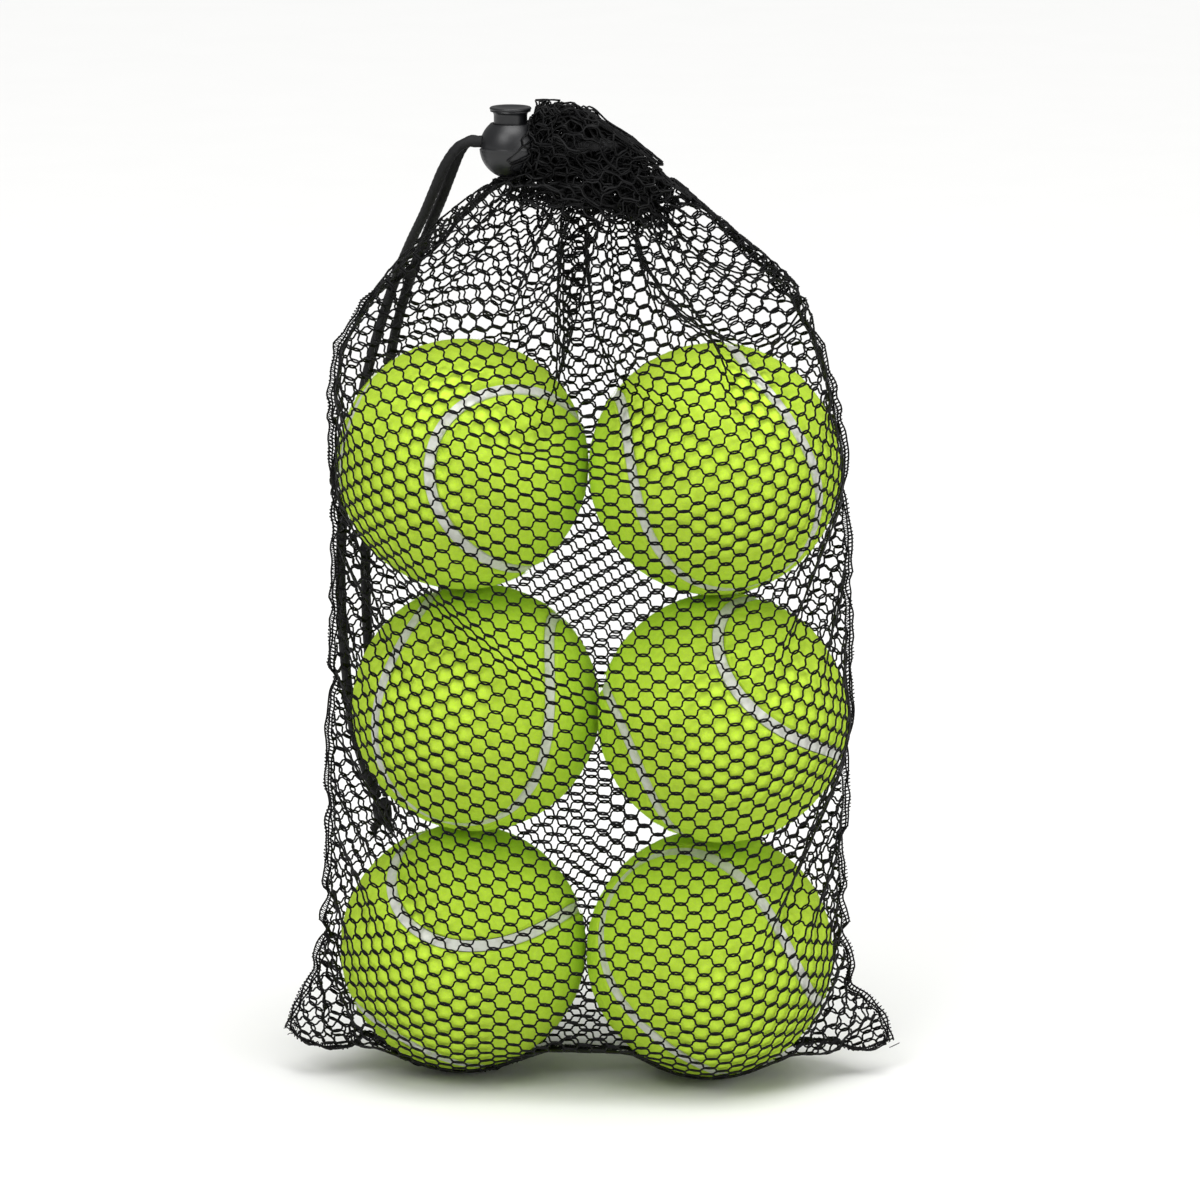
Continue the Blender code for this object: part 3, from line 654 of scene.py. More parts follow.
@functools.lru_cache(maxsize=1)
def draped_net(girth, height, steps):
    """The net drawn closed over the balls: a grid of points that keeps its ties' lengths, stays
    outside the balls and above the floor, is sewn shut along its bottom row, is held along its
    sewn sides and is drawn into a small tilted ellipse at the drawcord, over the first half of
    the steps."""
    net = wrapped_start(girth, height)
    groups = ties(girth, height)
    rng = np.random.default_rng(3)
    up = height / (ROWS - 1)
    rows = np.arange(ROWS)[:, None]
    turn = (np.arange(COLUMNS) / COLUMNS * 2 * np.pi)[None, :]
    bumps = np.zeros((ROWS, COLUMNS))
    for wave in (5, 7, 9, 11, 13, 16, 19, 23, 29):
        bumps += rng.normal() * np.cos(
            wave * turn + rng.uniform(0, 6.3) + rng.normal() * rows * 0.03
        )
    strength = np.clip((rows * up - 0.185) / 0.05, 0, 1)
    net[..., 1] += bumps * 0.0009 * strength
    net[..., 0] += np.roll(bumps, 5, 1) * 0.0009 * strength
    drawn = round((height - HEM_TURN) / up)
    mirror = (-np.arange(COLUMNS)) % COLUMNS
    bottoms = [centre for name, centre in BALL_CENTRES.items() if "bottom" in name]
    heights, lefts, rights = np.array(SHOULDERS).T
    edges = []
    for edge, side in (LEFT_EDGE, lefts), (RIGHT_EDGE, rights):
        shoulder = np.stack([side, heights * 0, heights], axis=1)
        edge = np.concatenate([edge, shoulder])
        run = run_of(edge)
        at = np.linspace(0, run[-1], drawn - 1)
        hold = 0.04 + 0.46 * np.clip(1 - at / 0.03, 0, 1) ** 2
        edges.append((at_run(at, run, edge), hold[:, None]))
    moved = np.zeros_like(net)
    for step in range(steps):
        share = min(1.0, step / (steps * 0.45))
        place = net + moved * 0.96
        place[..., 2] -= 4e-6
        for _ in range(5):
            flat = place.reshape(-1, 3)
            for first, second, rest, pull, push in groups:
                apart = flat[second] - flat[first]
                size = np.sqrt((apart * apart).sum(-1)) + 1e-12
                share_off = (size - rest) / size
                share_off = np.where(share_off > 0, share_off * pull, share_off * push) / 2
                shift = apart * share_off[:, None]
                flat[first] += shift
                flat[second] -= shift
            for centre in BALL_CENTRES.values():
                push_off_ball(place, centre, NET_RADIUS)
            push_off_ball(place, LOCK_CENTRE, LOCK_RADIUS + 0.0008)
            place[..., 2] = np.maximum(place[..., 2], 0.0006)
            # The bottom seam lies under the balls and rises a little beside them.
            sewn = (place[0] + place[0][mirror]) / 2
            sewn[:, 1] *= 0.97
            free = np.min([np.abs(sewn[:, 0] - ball[0]) for ball in bottoms], axis=0)
            lift = SEAM_LIFT * np.clip((free - 0.008) / 0.014, 0, 1)
            sewn[:, 2] += (np.maximum(sewn[:, 2], lift) - sewn[:, 2]) * 0.3
            place[0] = sewn
            # The net is drawn taut under the balls, so it stands no further out than they do.
            low = place[:UNDER_ROWS]
            middle = np.interp(low[..., 0], *zip(*(ball[:2] for ball in bottoms)))
            level = np.clip(low[..., 2], 0.0008, BOTTOM_CENTRE)
            deep = np.sqrt(NET_RADIUS**2 - (BOTTOM_CENTRE - level) ** 2) + 0.0006
            low[..., 1] = np.clip(low[..., 1], middle - deep, middle + deep)
            beside = np.min([np.abs(low[..., 0] - ball[0]) for ball in bottoms], axis=0)
            keel = 0.0062 + 0.30 * np.abs(low[..., 1] - middle)
            keel *= np.clip((beside - 0.008) / 0.014, 0, 1)
            low[..., 2] = np.maximum(low[..., 2], keel)
            for column, (edge, hold) in ((0, edges[0]), (HALF, edges[1])):
                for offset, share_held in ((0, 1), (1, 0.25), (-1, 0.25)):
                    line = place[: len(edge), (column + offset) % COLUMNS]
                    line += (edge - line) * hold * share_held
            # The stitched sides hold the shoulders out.
            for column, side in ((0, lefts), (HALF, rights)):
                for offset in range(-5, 6):
                    line = place[:, (column + offset) % COLUMNS]
                    target = np.interp(line[:, 2], heights, side)
                    inside = (line[:, 2] > heights[0]) & (line[:, 2] < heights[-1])
                    inside &= (target - line[:, 0]) * np.sign(target) > 0
                    weight = 0.16 * (1 - abs(offset) / 6)
                    line[:, 0] += np.where(inside, (target - line[:, 0]) * weight, 0)
                    place[:, (column + offset) % COLUMNS] = line
            under_slope(place)
            # The drawcord draws the hem in.
            for offset in (-1, 0, 1, 2):
                ring = place[drawn + offset] - NECK_CENTRE
                grow = 1 + 0.06 * abs(offset)
                wide = (0.075 * (1 - share) + 0.0180 * share) * grow
                deep = (0.020 * (1 - share) + 0.0085 * share) * grow
                out = np.hypot(ring[:, 0] / wide, ring[:, 1] / deep)
                ring[:, :2] /= np.maximum(out, 1)[:, None]
                level = offset * up * 0.6 - 0.26 * ring[:, 0]
                loose = 0.002 + 0.02 * (1 - share)
                ring[:, 2] = np.clip(ring[:, 2], level - loose, level + loose)
                place[drawn + offset] = NECK_CENTRE + ring
        if step % 10 == 0 or step > steps - 10:
            place = push_off_cord(place, 0.0022)
        moved = place - net
        speed = np.linalg.norm(moved, axis=-1, keepdims=True)
        moved *= np.minimum(1, 0.0008 / (speed + 1e-12))
        net = place
    across = np.roll(net, -1, axis=1) - np.roll(net, 1, axis=1)
    upward = np.gradient(net, axis=0)
    out = unit(np.cross(across, upward))
    return net, out


def on_net(cloth, u, v, girth, height):
    """Places on the draped net, and its outward direction, by bilinear mixing of grid points."""
    a = u / girth * COLUMNS
    b = np.clip(v / height * (ROWS - 1), 0, ROWS - 1 - 1e-6)
    i, j = np.floor(a).astype(int), np.floor(b).astype(int)
    right, above = (a - i)[..., None], (b - j)[..., None]
    i, beside = i % COLUMNS, (i + 1) % COLUMNS
    return [
        (grid[j, i] * (1 - right) + grid[j, beside] * right) * (1 - above)
        + (grid[j + 1, i] * (1 - right) + grid[j + 1, beside] * right) * above
        for grid in cloth
    ]


def knit_paths(net, columns, low, high):
    """The knit's threads as (u, v) paths: each runs round the tube in a zigzag, up half a cell and
    down again, and lies beside its upper or lower neighbour along each joint, a little apart at
    its middle."""
    half = net.girth / net.cells_round
    ranks = np.arange(math.ceil(2 * low / net.cell), math.floor(2 * high / net.cell))[:, None]
    columns = np.asarray(columns)[None, :]
    up = ((columns + ranks) % 2) * 2 - 1
    middle = (ranks + 0.5) * net.cell / 2 + up * net.cell / 4
    u, v = [], []
    bends = ((-0.60, 0.00060), (-0.42, 0.00018), (0.0, 0.00032), (0.42, 0.00018), (0.60, 0.00060))
    for share, off in bends:
        u.append(np.broadcast_to((columns + 0.5) * half + share * net.joint, up.shape))
        v.append(middle - up * off)
    return [np.stack(x, axis=-1).reshape(len(ranks), -1) for x in (u, v)]


def net_settings():
    net = bpy.context.scene.bag_net
    steps = net.steps
    return net, draped_net(round(net.girth, 6), round(net.height, 6), steps)


class BAG_OT_knit_net(Operator):
    """Knits the front and back of the net over the balls"""

    bl_idname = "bag.knit_net"
    bl_label = "Net"

    def execute(self, context):
        net, cloth = net_settings()
        finish = knitted_polyester(net.tint)
        half = net.cells_round // 2
        for name, first in (("front_net", 0), ("back_net", half)):
            u, v = knit_paths(net, range(first, first + half), 0.0, net.height)
            start, end = (at * net.girth / net.cells_round for at in (first, first + half))
            u = np.pad(u, ((0, 0), (1, 1)), constant_values=((0, 0), (start, end)))
            v = np.pad(v, ((0, 0), (1, 1)), mode="edge")
            places, out = on_net(cloth, u, np.clip(v, 0, net.height), net.girth, net.height)
            knit = tubes(places, out, net.thread * 0.62, 3, capped=False)
            side = "net_front_panel" if first == 0 else "net_back_panel"
            piece = add_piece(name, knit, finish, HOLDER, "net", side)
        return {"FINISHED"}


class BAG_OT_gather_hem(Operator):
    """Gathers the turned-in hem round the drawcord: folds of the net lie inside one another, each
    a lumpy tube that flares below the cord, narrows at it and curls in at its top"""

    bl_idname = "bag.gather_hem"
    bl_label = "Gathered hem"

    def execute(self, context):
        net = context.scene.bag_net
        half = net.girth / net.cells_round
        parts = []
        for number, (share, drop) in enumerate(HEM_FOLDS):
            wide, deep = BUNCH_HALF[0] * share, BUNCH_HALF[1] * share
            looser = max(share - 0.94, 0)
            round_it = 2 * np.pi * math.hypot(wide, deep) / math.sqrt(2)
            columns = 2 * round(round_it / half / 2)
            u, v = knit_paths(net, range(columns), 0.0, BUNCH_RISE - drop)
            u, v = (np.concatenate([line, line[:, :1] + step], axis=1)
                    for line, step in ((u, columns * half), (v, 0)))
            angle = u / (columns * half) * 2 * np.pi
            along = v + drop
            spread = np.interp(along, BUNCH_RUN, BUNCH_SPREAD)
            lump_u, lump_v = np.cos(angle) * round_it / 6, np.sin(angle) * round_it / 6 + v
            lumps = [
                0.0016 * smooth_noise(lump_u, lump_v, 40 + number * 3 + axis, 9, 0.016, 0.005)
                for axis in range(3)
            ]
            out = np.stack([np.cos(angle), np.sin(angle), 0 * v], axis=-1)
            places = np.stack(
                [
                    BUNCH_CENTRE[0] + looser * wide + out[..., 0] * (wide * spread + lumps[0]),
                    BUNCH_CENTRE[1] + out[..., 1] * (deep * spread + lumps[1]),
                    np.interp(along, BUNCH_RUN, BUNCH_HEIGHT) + lumps[2] * 0.8,
                ],
                axis=-1,
            )
            rise = 0.007 * looser
            places[..., 2] += rise - 0.20 * (places[..., 0] - BUNCH_CENTRE[0])
            under_slope(places, rise)
            push_off_ball(places, LOCK_CENTRE, LOCK_RADIUS + 0.0005)
            push_off_ball(places, LOCK_CENTRE + (0, 0, 0.0090), 0.0072)  # the button, up and down
            parts.append(tubes(places, out, net.thread * 0.62, 3))
        finish = knitted_polyester(net.tint)
        add_piece("mouth_hem_gather", joined(parts), finish, HOLDER, "net", "mouth_hem")
        return {"FINISHED"}


def overlocked(centre, out, facing, width, depth, pitch, thread=0.00034):
    """An overlocked edge: a thread wound in a flat helix round the edge, of this width along the
    out direction and this depth along the facing one, over three slack threads inside it."""
    run = run_of(centre)
    turns = run[-1] / pitch
    places = np.linspace(0, run[-1], round(turns * 10))

    def beside(at, across, above):
        path = at_run(at, run, centre) + at_run(at, run, out) * across[:, None]
        return (path + at_run(at, run, facing) * above[:, None])[None]

    angle = places / pitch * 2 * np.pi
    wander = 0.00025 * smooth_noise(places, places * 0, 5, 6, 0.02, 0.003)
    wound = beside(
        places, width / 2 * (1 - np.cos(angle)) + wander, depth / 2 * np.sin(angle) + wander
    )
    parts = [tubes(wound, at_run(places, run, facing)[None], thread / 2, 4)]
    for number, share in enumerate((0.12, 0.5, 0.88)):
        at = np.linspace(0, run[-1], round(run[-1] / 0.0012))
        sway = 0.0003 * smooth_noise(at, at * 0, 7 + number, 6, 0.012, 0.003)
        slack = beside(at, width * share + sway, sway)
        parts.append(tubes(slack, at_run(at, run, facing)[None], thread * 0.75, 6))
    return joined(parts)


class BAG_OT_sew_seams(Operator):
    """Overlocks the side seams and the bottom seam, with loose thread ends at the ears"""

    bl_idname = "bag.sew_seams"
    bl_label = "Overlocked seams"

    def execute(self, context):
        net, (places, out) = net_settings()
        finish = knitted_polyester(net.tint)
        finish.name = "overlocked_polyester"
        last = round((net.height - HEM_TURN - 0.004) / net.height * (ROWS - 1))
        middle = (np.roll(places, 3, axis=1) + np.roll(places, -3, axis=1)) / 2
        for name, column in (("left", 0), ("right", HALF)):
            line = places[: last + 1, column]
            outward = unit(line - middle[: last + 1, column] + out[: last + 1, column] * 0.002)
            facing = unit(np.cross(np.gradient(line, axis=0), outward))
            route = smooth_route(line, 0.002)
            share, keep = np.linspace(0, 1, len(line)), np.linspace(0, 1, len(route))
            spread = [unit(at_run(keep, share, way)) for way in (outward, facing)]
            sewn = overlocked(route, *spread, width=0.0023, depth=0.0011, pitch=0.0010)
            add_piece(
                f"side_seam_{name}_stitches", sewn, finish, HOLDER, "seam_thread",
                f"side_seam_{name}",
            )
        line = places[0, : HALF + 1]
        route = smooth_route(line, 0.002)
        route[:, 2] = np.maximum(route[:, 2], 0.0007)
        outward = np.tile((0.0, 1.0, 0.0), (len(route), 1))
        facing = np.tile((0.0, 0.0, 1.0), (len(route), 1))
        route[:, 1] -= 0.0015
        parts = [overlocked(route, outward, facing, width=0.0032, depth=0.0009, pitch=0.0013)]
        rng = np.random.default_rng(21)
        for ear, way in ((line[0], -1.0), (line[-1], 1.0)):
            for _ in range(8):
                reach = rng.uniform(0.0012, 0.0032)
                aim = [way * rng.uniform(-0.2, 0.6), rng.uniform(-0.8, 0.8), rng.uniform(0, 0.9)]
                bend = rng.normal(0, 0.3, 3)
                share = np.linspace(0, 1, 8)[:, None]
                start = ear + rng.normal(0, 0.0007, 3)
                path = start + reach * (share * unit(np.array(aim)) + share**2 * bend)
                path[:, 2] = np.maximum(path[:, 2], 0.0006)
                parts.append(strand(path, 0.00013, 4))
        points, faces = joined(parts)
        for centre in BALL_CENTRES.values():
            push_off_ball(points, centre, context.scene.bag_balls.radius + 0.0005)
        points[:, 2] = np.maximum(points[:, 2], 0.0001)
        add_piece(
            "bottom_seam_stitches", (points, faces), finish, HOLDER, "seam_thread", "bottom_seam"
        )
        return {"FINISHED"}


# ---------------------------------------------------------------- drawcord


def braided_tube(path, diameter, lay, sides=24):
    """A braid of eight carriers: the tube swells where a carrier passes over, and four carriers
    wind each way. Also gives the share of the way round and the run along it for each corner."""
    run = run_of(path)
    turn = (np.arange(sides) + 0.5) * 2 * np.pi / sides
    wind = 2 * np.pi * run[:, None] / lay
    left = np.abs(np.cos(2 * (turn[None] - wind)))
    right = np.abs(np.cos(2 * (turn[None] + wind)))
    over = 0.5 + 0.5 * np.cos(4 * turn[None]) * np.cos(4 * wind)
    height = np.maximum(left * (0.6 + 0.4 * over), right * (1 - 0.4 * over))
    relief = 0.90 + 0.10 * height
    points, faces = tubes(path[None], carried(path)[None], diameter / 2, sides, relief[None])
    row, column = np.divmod(faces[:, [0]], sides)
    run = np.concatenate([run[:1], run, run[-1:]])
    u = np.concatenate([column, column + 1, column + 1, column], axis=1) / sides
    v = np.concatenate([run[row], run[row], run[row + 1], run[row + 1]], axis=1)
    return points, faces, np.stack([u, v], axis=-1)


def knot_path(centre, width, height):
    """A trefoil drawn tight: the overhand knot's own line, stretched upright."""
    t = np.linspace(0, 2 * np.pi, 160)
    x = (np.sin(t) + 2 * np.sin(2 * t)) / 3
    y = (np.cos(t) - 2 * np.cos(2 * t)) / 3
    return centre + np.stack([x * width, y * width, -np.sin(3 * t) * height], axis=1)


class BAG_OT_lay_cord(Operator):
    """Lays the braided drawcord: the loop in the hem, the two tails and their knot"""

    bl_idname = "bag.lay_cord"
    bl_label = "Drawcord"

    def execute(self, context):
        cord = context.scene.bag_cord
        finish = braided_polyester(cord.tint, cord.lay)
        turns = np.radians(np.arange(-120, 121, 15))
        ring = [
            (CORD_AXIS_X + CORD_RING_RADIUS * math.cos(a), CORD_RING_RADIUS * math.sin(a),
             CORD_HEIGHT)
            for a in turns
        ]
        beside = 0.00155  # of each strand's middle from the plane between them
        near, far = LOCK_CENTRE[0] - LOCK_RADIUS + 0.0006, LOCK_CENTRE[0] + LOCK_RADIUS
        leg = np.linspace(near, far + cord.diameter / 2, 4)
        route = [(x, -beside, CORD_HEIGHT) for x in leg] + ring
        route += [(x, beside, CORD_HEIGHT) for x in reversed(leg)]
        braid = braided_tube(smooth_route(route, 0.0004), cord.diameter, cord.lay)
        add_piece("drawcord_braid", braid, finish, HOLDER, "cord", "drawcord_loop")

        centre = sum(np.array(corner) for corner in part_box("tail_knot")) / 2
        line = knot_path(centre, 0.00165, 0.0026)
        parts = [strand(line, cord.diameter / 2 * 0.86, 16)]
        rng = np.random.default_rng(31)
        for side in (-1, 1):
            start = centre + (0.0010 * side, 0.0004 * side, -0.0026)
            end = start + (0.0010 * side, 0.0006, -0.0026)
            share = np.linspace(0, 1, 14)[:, None]
            path = start + (end - start) * share + np.array([0.0006 * side, 0, 0]) * share**2
            parts.append(strand(path, cord.diameter / 2 * 0.8, 12))
            for _ in range(26):
                root = end + rng.normal(0, 0.0004, 3)
                aim = np.array([0.35 * side, 0.1, -1.0]) + rng.normal(0, 0.35, 3)
                share = np.linspace(0, 1, 5)[:, None]
                hair = root + unit(aim) * rng.uniform(0.0012, 0.0030) * share
                parts.append(strand(hair, 0.00008, 3))
        points, faces = joined(parts)
        uv = np.zeros((len(faces), 4, 2))
        uv[..., 0], uv[..., 1] = points[faces][..., 0] * 300, points[faces][..., 2]
        tied = (points, faces, uv)
        knot = add_piece("tail_knot_tied", tied, finish, LOCK_BODY, "cord", "tail_knot")
        for letter, tail in (("a", TAIL_A), ("b", TAIL_B)):
            # The strand goes on a little way into the lock, so that no gap shows.
            inside = (tail[0][0] + 0.0014, *tail[0][1:])
            route = smooth_route((inside, *tail), 0.0004)
            braid, node = braided_tube(route, cord.diameter, cord.lay), f"cord_tail_{letter}"
            piece = add_piece(f"{node}_braid", braid, finish, LOCK_BODY, "cord", node)
        return {"FINISHED"}


# ---------------------------------------------------------------- cord lock


def cut_out(mesh, cutter, name):
    """The mesh less the cutter, by an exact Boolean whose result is kept as plain mesh."""
    body = bpy.data.objects.new(name, mesh)
    tool = bpy.data.objects.new(name + "_cutter", cutter)
    for thing in (body, tool):
        bpy.context.scene.collection.objects.link(thing)
    modifier = body.modifiers.new("Slot", "BOOLEAN")
    modifier.operation, modifier.solver, modifier.object = "DIFFERENCE", "EXACT", tool
    graph = bpy.context.evaluated_depsgraph_get()
    result = bpy.data.meshes.new_from_object(body.evaluated_get(graph))
    for thing in (body, tool):
        bpy.data.objects.remove(thing)
    result.name = name
    result.shade_smooth()
    result.set_sharp_from_angle(angle=math.radians(38))
    return result


def slot_tube(name, height, middle, cord):
    """A slot along X with round corners, as high as asked and wide enough for two strands."""
    corner = cord / 2
    half_width = (cord + 0.0003) / 2 + cord / 2 + 0.0004
    outline = []
    for start, y_sign, z_sign in ((0, 1, 1), (90, -1, 1), (180, -1, -1), (270, 1, -1)):
        centre = (y_sign * (half_width - corner), z_sign * (height / 2 - corner))
        outline += arc(corner, start, start + 90, 7, centre)
    outline = np.array(outline)
    reach = LOCK_RADIUS + 0.003
    rings = [
        np.column_stack([np.full(len(outline), x), outline[:, 0], outline[:, 1] + middle])
        for x in (-reach, reach)
    ]
    ends = [np.tile(ring.mean(0), (len(outline), 1)) for ring in rings]
    points = np.concatenate([ends[0], *rings, ends[1]]) + LOCK_CENTRE
    return mesh_from(name, points, grid_faces(4, len(outline), closed_columns=True))


def cut_lathe(node, profile, slot, finish, body):
    """A turned piece of the lock for this CAD node, with the cord's slot cut through it."""
    name = node + "_moulded"
    solid = mesh_from(node + "_turned", *lathe(profile, LOCK_CENTRE, 72))
    mesh = cut_out(solid, slot_tube(node + "_slot", *slot), name)
    add_piece(name, mesh, finish, body, "lock_plastic", node)


class BAG_OT_mould_lock(Operator):
    """Moulds the ball-shaped cord lock and its button, and finishes the spring"""

    bl_idname = "bag.mould_lock"
    bl_label = "Cord lock"

    def execute(self, context):
        lock, cord = context.scene.bag_lock, context.scene.bag_cord.diameter
        finish = moulded_polypropylene(lock.tint)
        radius, button = LOCK_RADIUS, 0.00435
        bore, drop = button + 0.0003, CORD_HEIGHT - LOCK_CENTRE[2]
        rim = bore + 0.0005
        rim_angle = math.degrees(math.acos(rim / radius))
        rim_height = radius * math.sin(math.radians(rim_angle))
        sole = drop - cord / 2 - 0.0004 - 0.0013
        pocket = 0.0031 + 0.000225 + 0.0003
        ledge, floor = sole - 0.0031, 0.0021 - radius
        # A fine parting line stands out round the middle, where the two mould halves met.
        shell = [
            *arc(radius, -90, -1.6, 30), (radius + 0.00007, -0.0001), (radius + 0.00007, 0.0001),
            *arc(radius, 1.6, rim_angle - 2.5, 18), (rim + 0.00008, rim_height),
            (rim - 0.00012, rim_height + 0.00003), (bore, rim_height - 0.0002), (bore, ledge),
            (pocket, ledge), (pocket, floor), (0.0, floor),
        ]
        cut_lathe("lock_housing", shell, (cord + 0.0008, drop, cord), finish, LOCK_BODY)
        under = math.sqrt(radius**2 - rim**2) + 0.0030 + 0.0004
        flange, thick, roof = 0.00545, 0.0010, sole + 0.0013 * 0.6
        stem = [
            (0.0, roof), (pocket, roof), (pocket, sole), (button - 0.0001, sole),
            (button, sole + 0.0001), (button, under - 0.0013),
            *arc(0.0011, 180, 98, 8, (button + 0.0011, under - 0.0013)),
            *arc(thick * 0.42, -70, 80, 9, (flange - thick * 0.42, under + thick * 0.48)),
            (button - 0.0003, under + thick * 0.86), (button - 0.0010, under + thick * 0.62),
            (button * 0.4, under + thick * 0.45), (0.0, under + thick * 0.42),
        ]
        slot = (cord + 0.0008 + 0.0030, drop + 0.0015, cord)
        cut_lathe("lock_button", stem, slot, finish, BUTTON_BODY)
        paint_node("lock_spring", drawn_spring_steel(lock.wire_tint))
        return {"FINISHED"}


def paint_node(name, finish):
    """Gives a CAD node's own material slots this finish."""
    data = frame["nodes"][name].data
    data.materials.clear()
    data.materials.append(finish)


# ---------------------------------------------------------------- balls


def seam_direction(t):
    """The tennis ball's seam on a unit sphere: a circle with a share of a wave of three lobes."""
    bend = 0.25
    x = (1 - bend) * np.cos(t) + bend * np.cos(3 * t)
    y = (1 - bend) * np.sin(t) - bend * np.sin(3 * t)
    return np.stack([x, y, 2 * math.sqrt(bend * (1 - bend)) * np.sin(2 * t)], axis=-1)


def beside_seam(t, distance, radius):
    """Directions this far to one side of the seam, measured on the ball's surface."""
    here = seam_direction(t)
    side = unit(np.cross(here, seam_direction(t + 1e-4) - seam_direction(t - 1e-4)))
    turn = distance / radius
    return here * np.cos(turn) + side * np.sin(turn)


def felt_panel(balls, seed):
    """A felt panel: great arcs from one edge of the seam's curve to the other, lobe tip to lobe
    tip. Its edges roll down into the groove, its nap is uneven, and loose fibres stand up."""
    rows, columns, inner = 150, 56, 8
    t = np.linspace(-np.pi / 4, 3 * np.pi / 4, rows)
    inset = balls.seam_width / 2 + 0.00015
    first = beside_seam(t, inset, balls.radius)[:, None]
    last = beside_seam(1.5 * np.pi - t, inset, balls.radius)[:, None]
    share = (0.5 - 0.5 * np.cos(np.linspace(0, np.pi, columns)))[None, :, None]
    top = unit(first * (1 - share) + last * share)
    gap = np.minimum(*(np.linalg.norm(top - edge, axis=-1) for edge in (first, last)))
    gap = gap * balls.radius
    roll = 0.0007 * np.exp(-((gap / 0.0006) ** 2))
    flat = top[..., 0] * 0.03, top[..., 1] * 0.03 + top[..., 2] * 0.02
    nap = 0.00006 * smooth_noise(*flat, seed, 14, 0.004, 0.0015)
    outer = top * (balls.radius - roll + nap - 0.00008)[..., None]
    back = np.linspace(1, 0, inner)[None, :, None]
    under = unit(first * (1 - back) + last * back) * (balls.radius - balls.felt_depth)
    ring = np.concatenate([outer, under], axis=1)
    shell = (ring.reshape(-1, 3), grid_faces(rows, columns + inner, closed_columns=True))
    rng = np.random.default_rng(seed)
    count = 2600
    row = rng.uniform(2, rows - 3, count).astype(int)
    column = rng.integers(2, columns - 2, count)
    root = unit(top[row, column] + rng.normal(0, 0.012, (count, 3)))
    reach = rng.uniform(0.0006, 0.0016, count)[:, None]
    lean = unit(np.cross(root, rng.normal(0, 1, (count, 3))))
    lift = rng.uniform(0.00010, 0.00030, count)[:, None]
    base = root * (balls.radius - 0.0002)
    share = np.linspace(0, 1, 4)[None, :, None]
    arch = base[:, None] + lean[:, None] * (reach[:, None] * share)
    arch = unit(arch) * (balls.radius - 0.0002 + (lift + 0.0002)[:, None] * np.sin(share * 2.2))
    fibres = tubes(arch, root[:, None] + np.zeros_like(arch), 0.000022, 3)
    return joined([shell, fibres])


def seam_groove(balls):
    """The glued seam: a closed band along the seam's curve, slightly hollow across, with a wall
    down each side under the felt."""
    t = np.linspace(-np.pi / 4, 7 * np.pi / 4, 420, endpoint=False)
    half = balls.seam_width / 2 - 0.00005
    across = np.linspace(-1, 1, 9)
    deep = balls.radius - balls.felt_depth
    rings = []
    for share in across:
        hollow = 0.00012 * (1 - share**2)
        level = balls.radius - balls.seam_recess - hollow
        rings.append(beside_seam(t, share * half, balls.radius) * level)
    rings += [beside_seam(t, share * half, balls.radius) * deep for share in (1, 0, -1)]
    ring = np.stack(rings, axis=1)
    number = np.arange(len(rings))[None]
    uneven = 0.00004 * smooth_noise(t[:, None] * 0.02, number * 0.001, 41, 10, 0.006, 0.001)
    ring = ring * (1 + uneven[..., None] / balls.radius)
    return ring.reshape(-1, 3), grid_faces(len(t), len(rings), True, True)


class BAG_OT_cover_balls(Operator):
    """Covers the six balls with felt, fills their seams and finishes their rubber cores"""

    bl_idname = "bag.cover_balls"
    bl_label = "Balls"

    def execute(self, context):
        balls = context.scene.bag_balls
        felt = needled_felt(balls.felt_tint, balls.felt_mottle_and_hollow_shade)
        rubber = vulcanised_seam(balls.seam_tint)
        core = pressed_rubber(balls.core_tint)
        groove = seam_groove(balls)
        for number, (name, centre) in enumerate(BALL_CENTRES.items()):
            lie = np.array(Euler([math.radians(a) for a in BALL_LIES[name]]).to_matrix())

            def placed(points, lie=lie, centre=centre):
                return points @ lie.T + centre

            for letter in "ab":
                points, faces = felt_panel(balls, 50 + 2 * number + (letter == "b"))
                if letter == "b":
                    points = np.stack([-points[:, 1], points[:, 0], -points[:, 2]], axis=1)
                panel, node = (placed(points), faces), f"{name}_felt_panel_{letter}"
                add_piece(f"{name}_felt_{letter}", panel, felt, name, "felt", node)
                paint_node(f"{name}_core_half_{letter}", core)
            glue = (placed(groove[0]), groove[1])
            add_piece(f"{name}_seam_glue", glue, rubber, name, "ball_seam", f"{name}_seam")
        return {"FINISHED"}


# ---------------------------------------------------------------- stage


def stood(name, data, turn, place=(0.0, 0.0, 0.0)):
    """A light, a camera or a mesh in the scene, at this place and turned this way."""
    thing = bpy.data.objects.new(name, data)
    bpy.context.scene.collection.objects.link(thing)
    thing.location, thing.rotation_euler = place, turn
    return thing


def aimed_light(name, place, target, size, power):
    data = bpy.data.lights.new(name, "AREA")
    data.shape, data.size, data.energy = "DISK", size, power
    turn = (Vector(target) - Vector(place)).to_track_quat("-Z", "Y").to_euler()
    stood(name, data, turn, place)


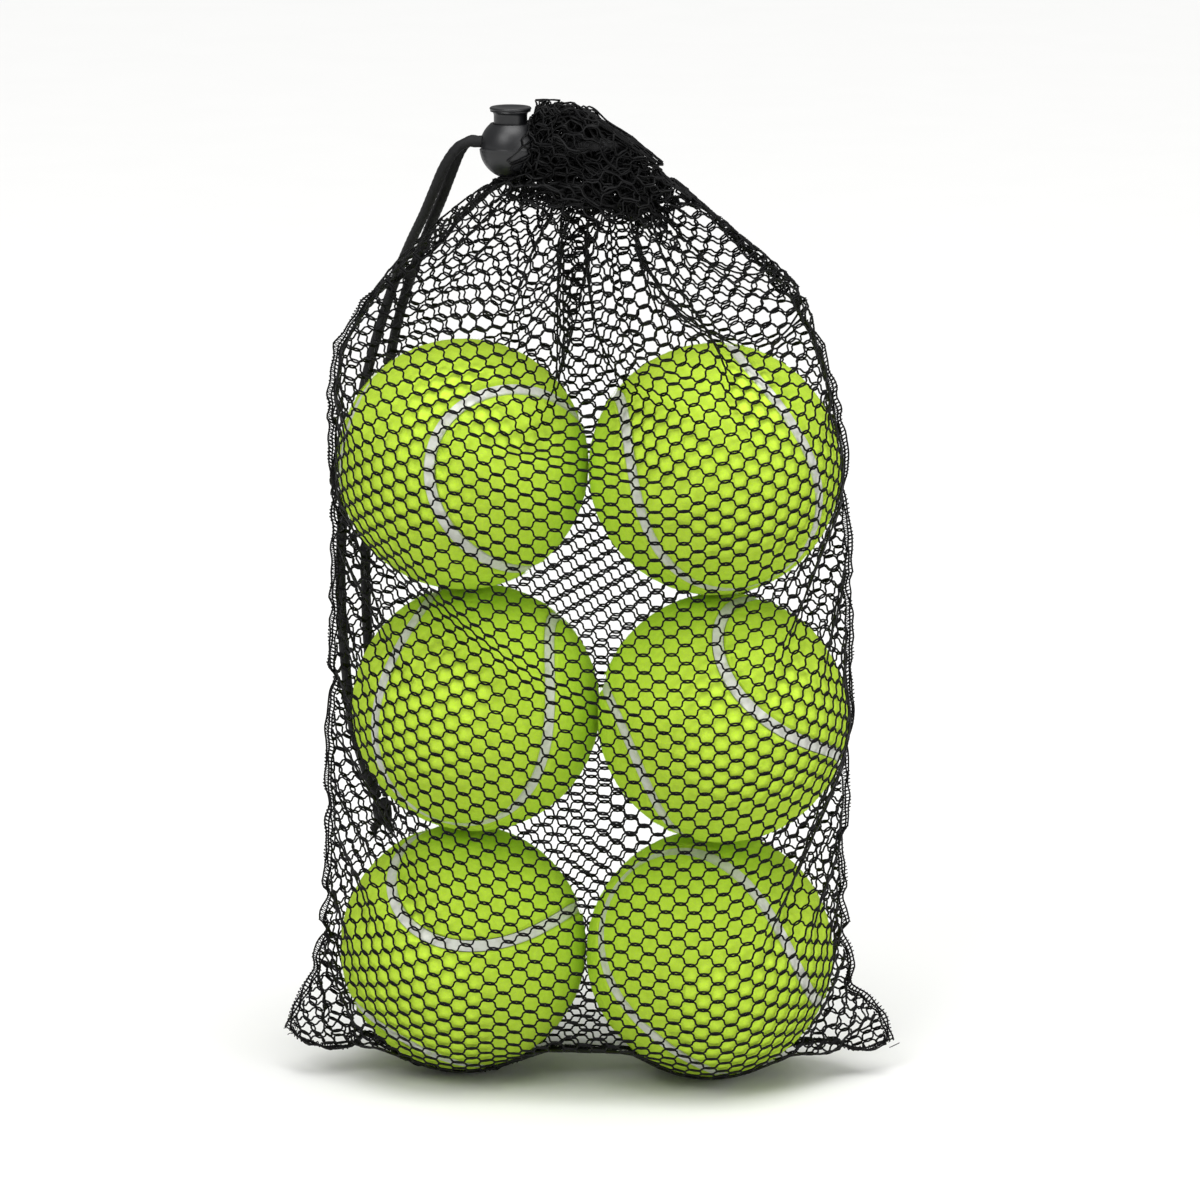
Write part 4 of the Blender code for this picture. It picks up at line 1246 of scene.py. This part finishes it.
class BAG_OT_set_stage(Operator):
    """Sets the floor, the soft lights and the camera"""

    bl_idname = "bag.set_stage"
    bl_label = "Stage"

    def execute(self, context):
        stage, scene = context.scene.bag_stage, context.scene
        reach, steps = 8.0, 9
        x, y = np.meshgrid(*[np.linspace(-reach, reach, steps)] * 2)
        points = np.stack([x, y, np.zeros_like(x)], axis=-1).reshape(-1, 3)
        mesh = mesh_from("floor", points, grid_faces(steps, steps), turn_out=False)
        floor = stood("floor", mesh, (0.0, 0.0, 0.0))
        mesh.materials.append(painted_board(stage.floor_tint))
        world = bpy.data.worlds.new("studio")
        world.use_nodes = True
        white = world.node_tree.nodes["Background"].inputs
        white["Color"].default_value, white["Strength"].default_value = (1.0, 1.0, 1.0, 1.0), 0.34
        scene.world = world
        scene.view_settings.view_transform = "Standard"
        middle = (0.0, 0.0, 0.12)
        aimed_light("key", (-0.8, -1.3, 1.5), middle, 1.0, 18)
        aimed_light("fill", (1.4, -1.2, 0.8), middle, 1.2, 11)
        sky = bpy.data.lights.new("overhead", "SUN")
        sky.energy, sky.angle = 2.9, math.radians(48)
        stood("overhead", sky, (math.radians(10), math.radians(5), 0.0))
        data = bpy.data.cameras.new("camera")
        data.lens, data.sensor_width, data.clip_start = stage.lens, 36.0, 0.01
        place = (0.0021, -stage.camera_distance, stage.camera_height)
        scene.camera = stood("camera", data, (math.pi / 2 - stage.camera_tilt, 0.0, 0.0), place)
        return {"FINISHED"}


# ---------------------------------------------------------------- panel and run

GROUPS = (
    ("bag_net", BagNet), ("bag_cord", BagCord), ("bag_lock", BagLock), ("bag_balls", BagBalls),
    ("bag_stage", BagStage),
)
OPERATORS = (
    BAG_OT_set_stage, BAG_OT_lay_cord, BAG_OT_mould_lock, BAG_OT_cover_balls, BAG_OT_knit_net,
    BAG_OT_gather_hem, BAG_OT_sew_seams,
)


class BAG_PT_pieces(Panel):
    """Lists the bag's pieces with their sizes and colours"""

    bl_label = "Net Ball Bag"
    bl_idname = "BAG_PT_pieces"
    bl_space_type = "VIEW_3D"
    bl_region_type = "UI"
    bl_category = "Ball Bag"

    def draw(self, context):
        for operator in OPERATORS:
            self.layout.operator(operator.bl_idname)
        for name, group in GROUPS:
            box = self.layout.box()
            for field in group.__annotations__:
                box.prop(getattr(context.scene, name), field)


CLASSES = (*(group for _, group in GROUPS), *OPERATORS, BAG_PT_pieces)


def register():
    for item in CLASSES:
        bpy.utils.register_class(item)
    for name, group in GROUPS:
        setattr(bpy.types.Scene, name, PointerProperty(type=group))


def unregister():
    for name, _ in GROUPS:
        delattr(bpy.types.Scene, name)
    for item in reversed(CLASSES):
        bpy.utils.unregister_class(item)


def main():
    register()
    for operator in OPERATORS:
        family, action = operator.bl_idname.split(".")
        getattr(getattr(bpy.ops, family), action)()


if __name__ == "__main__":
    main()
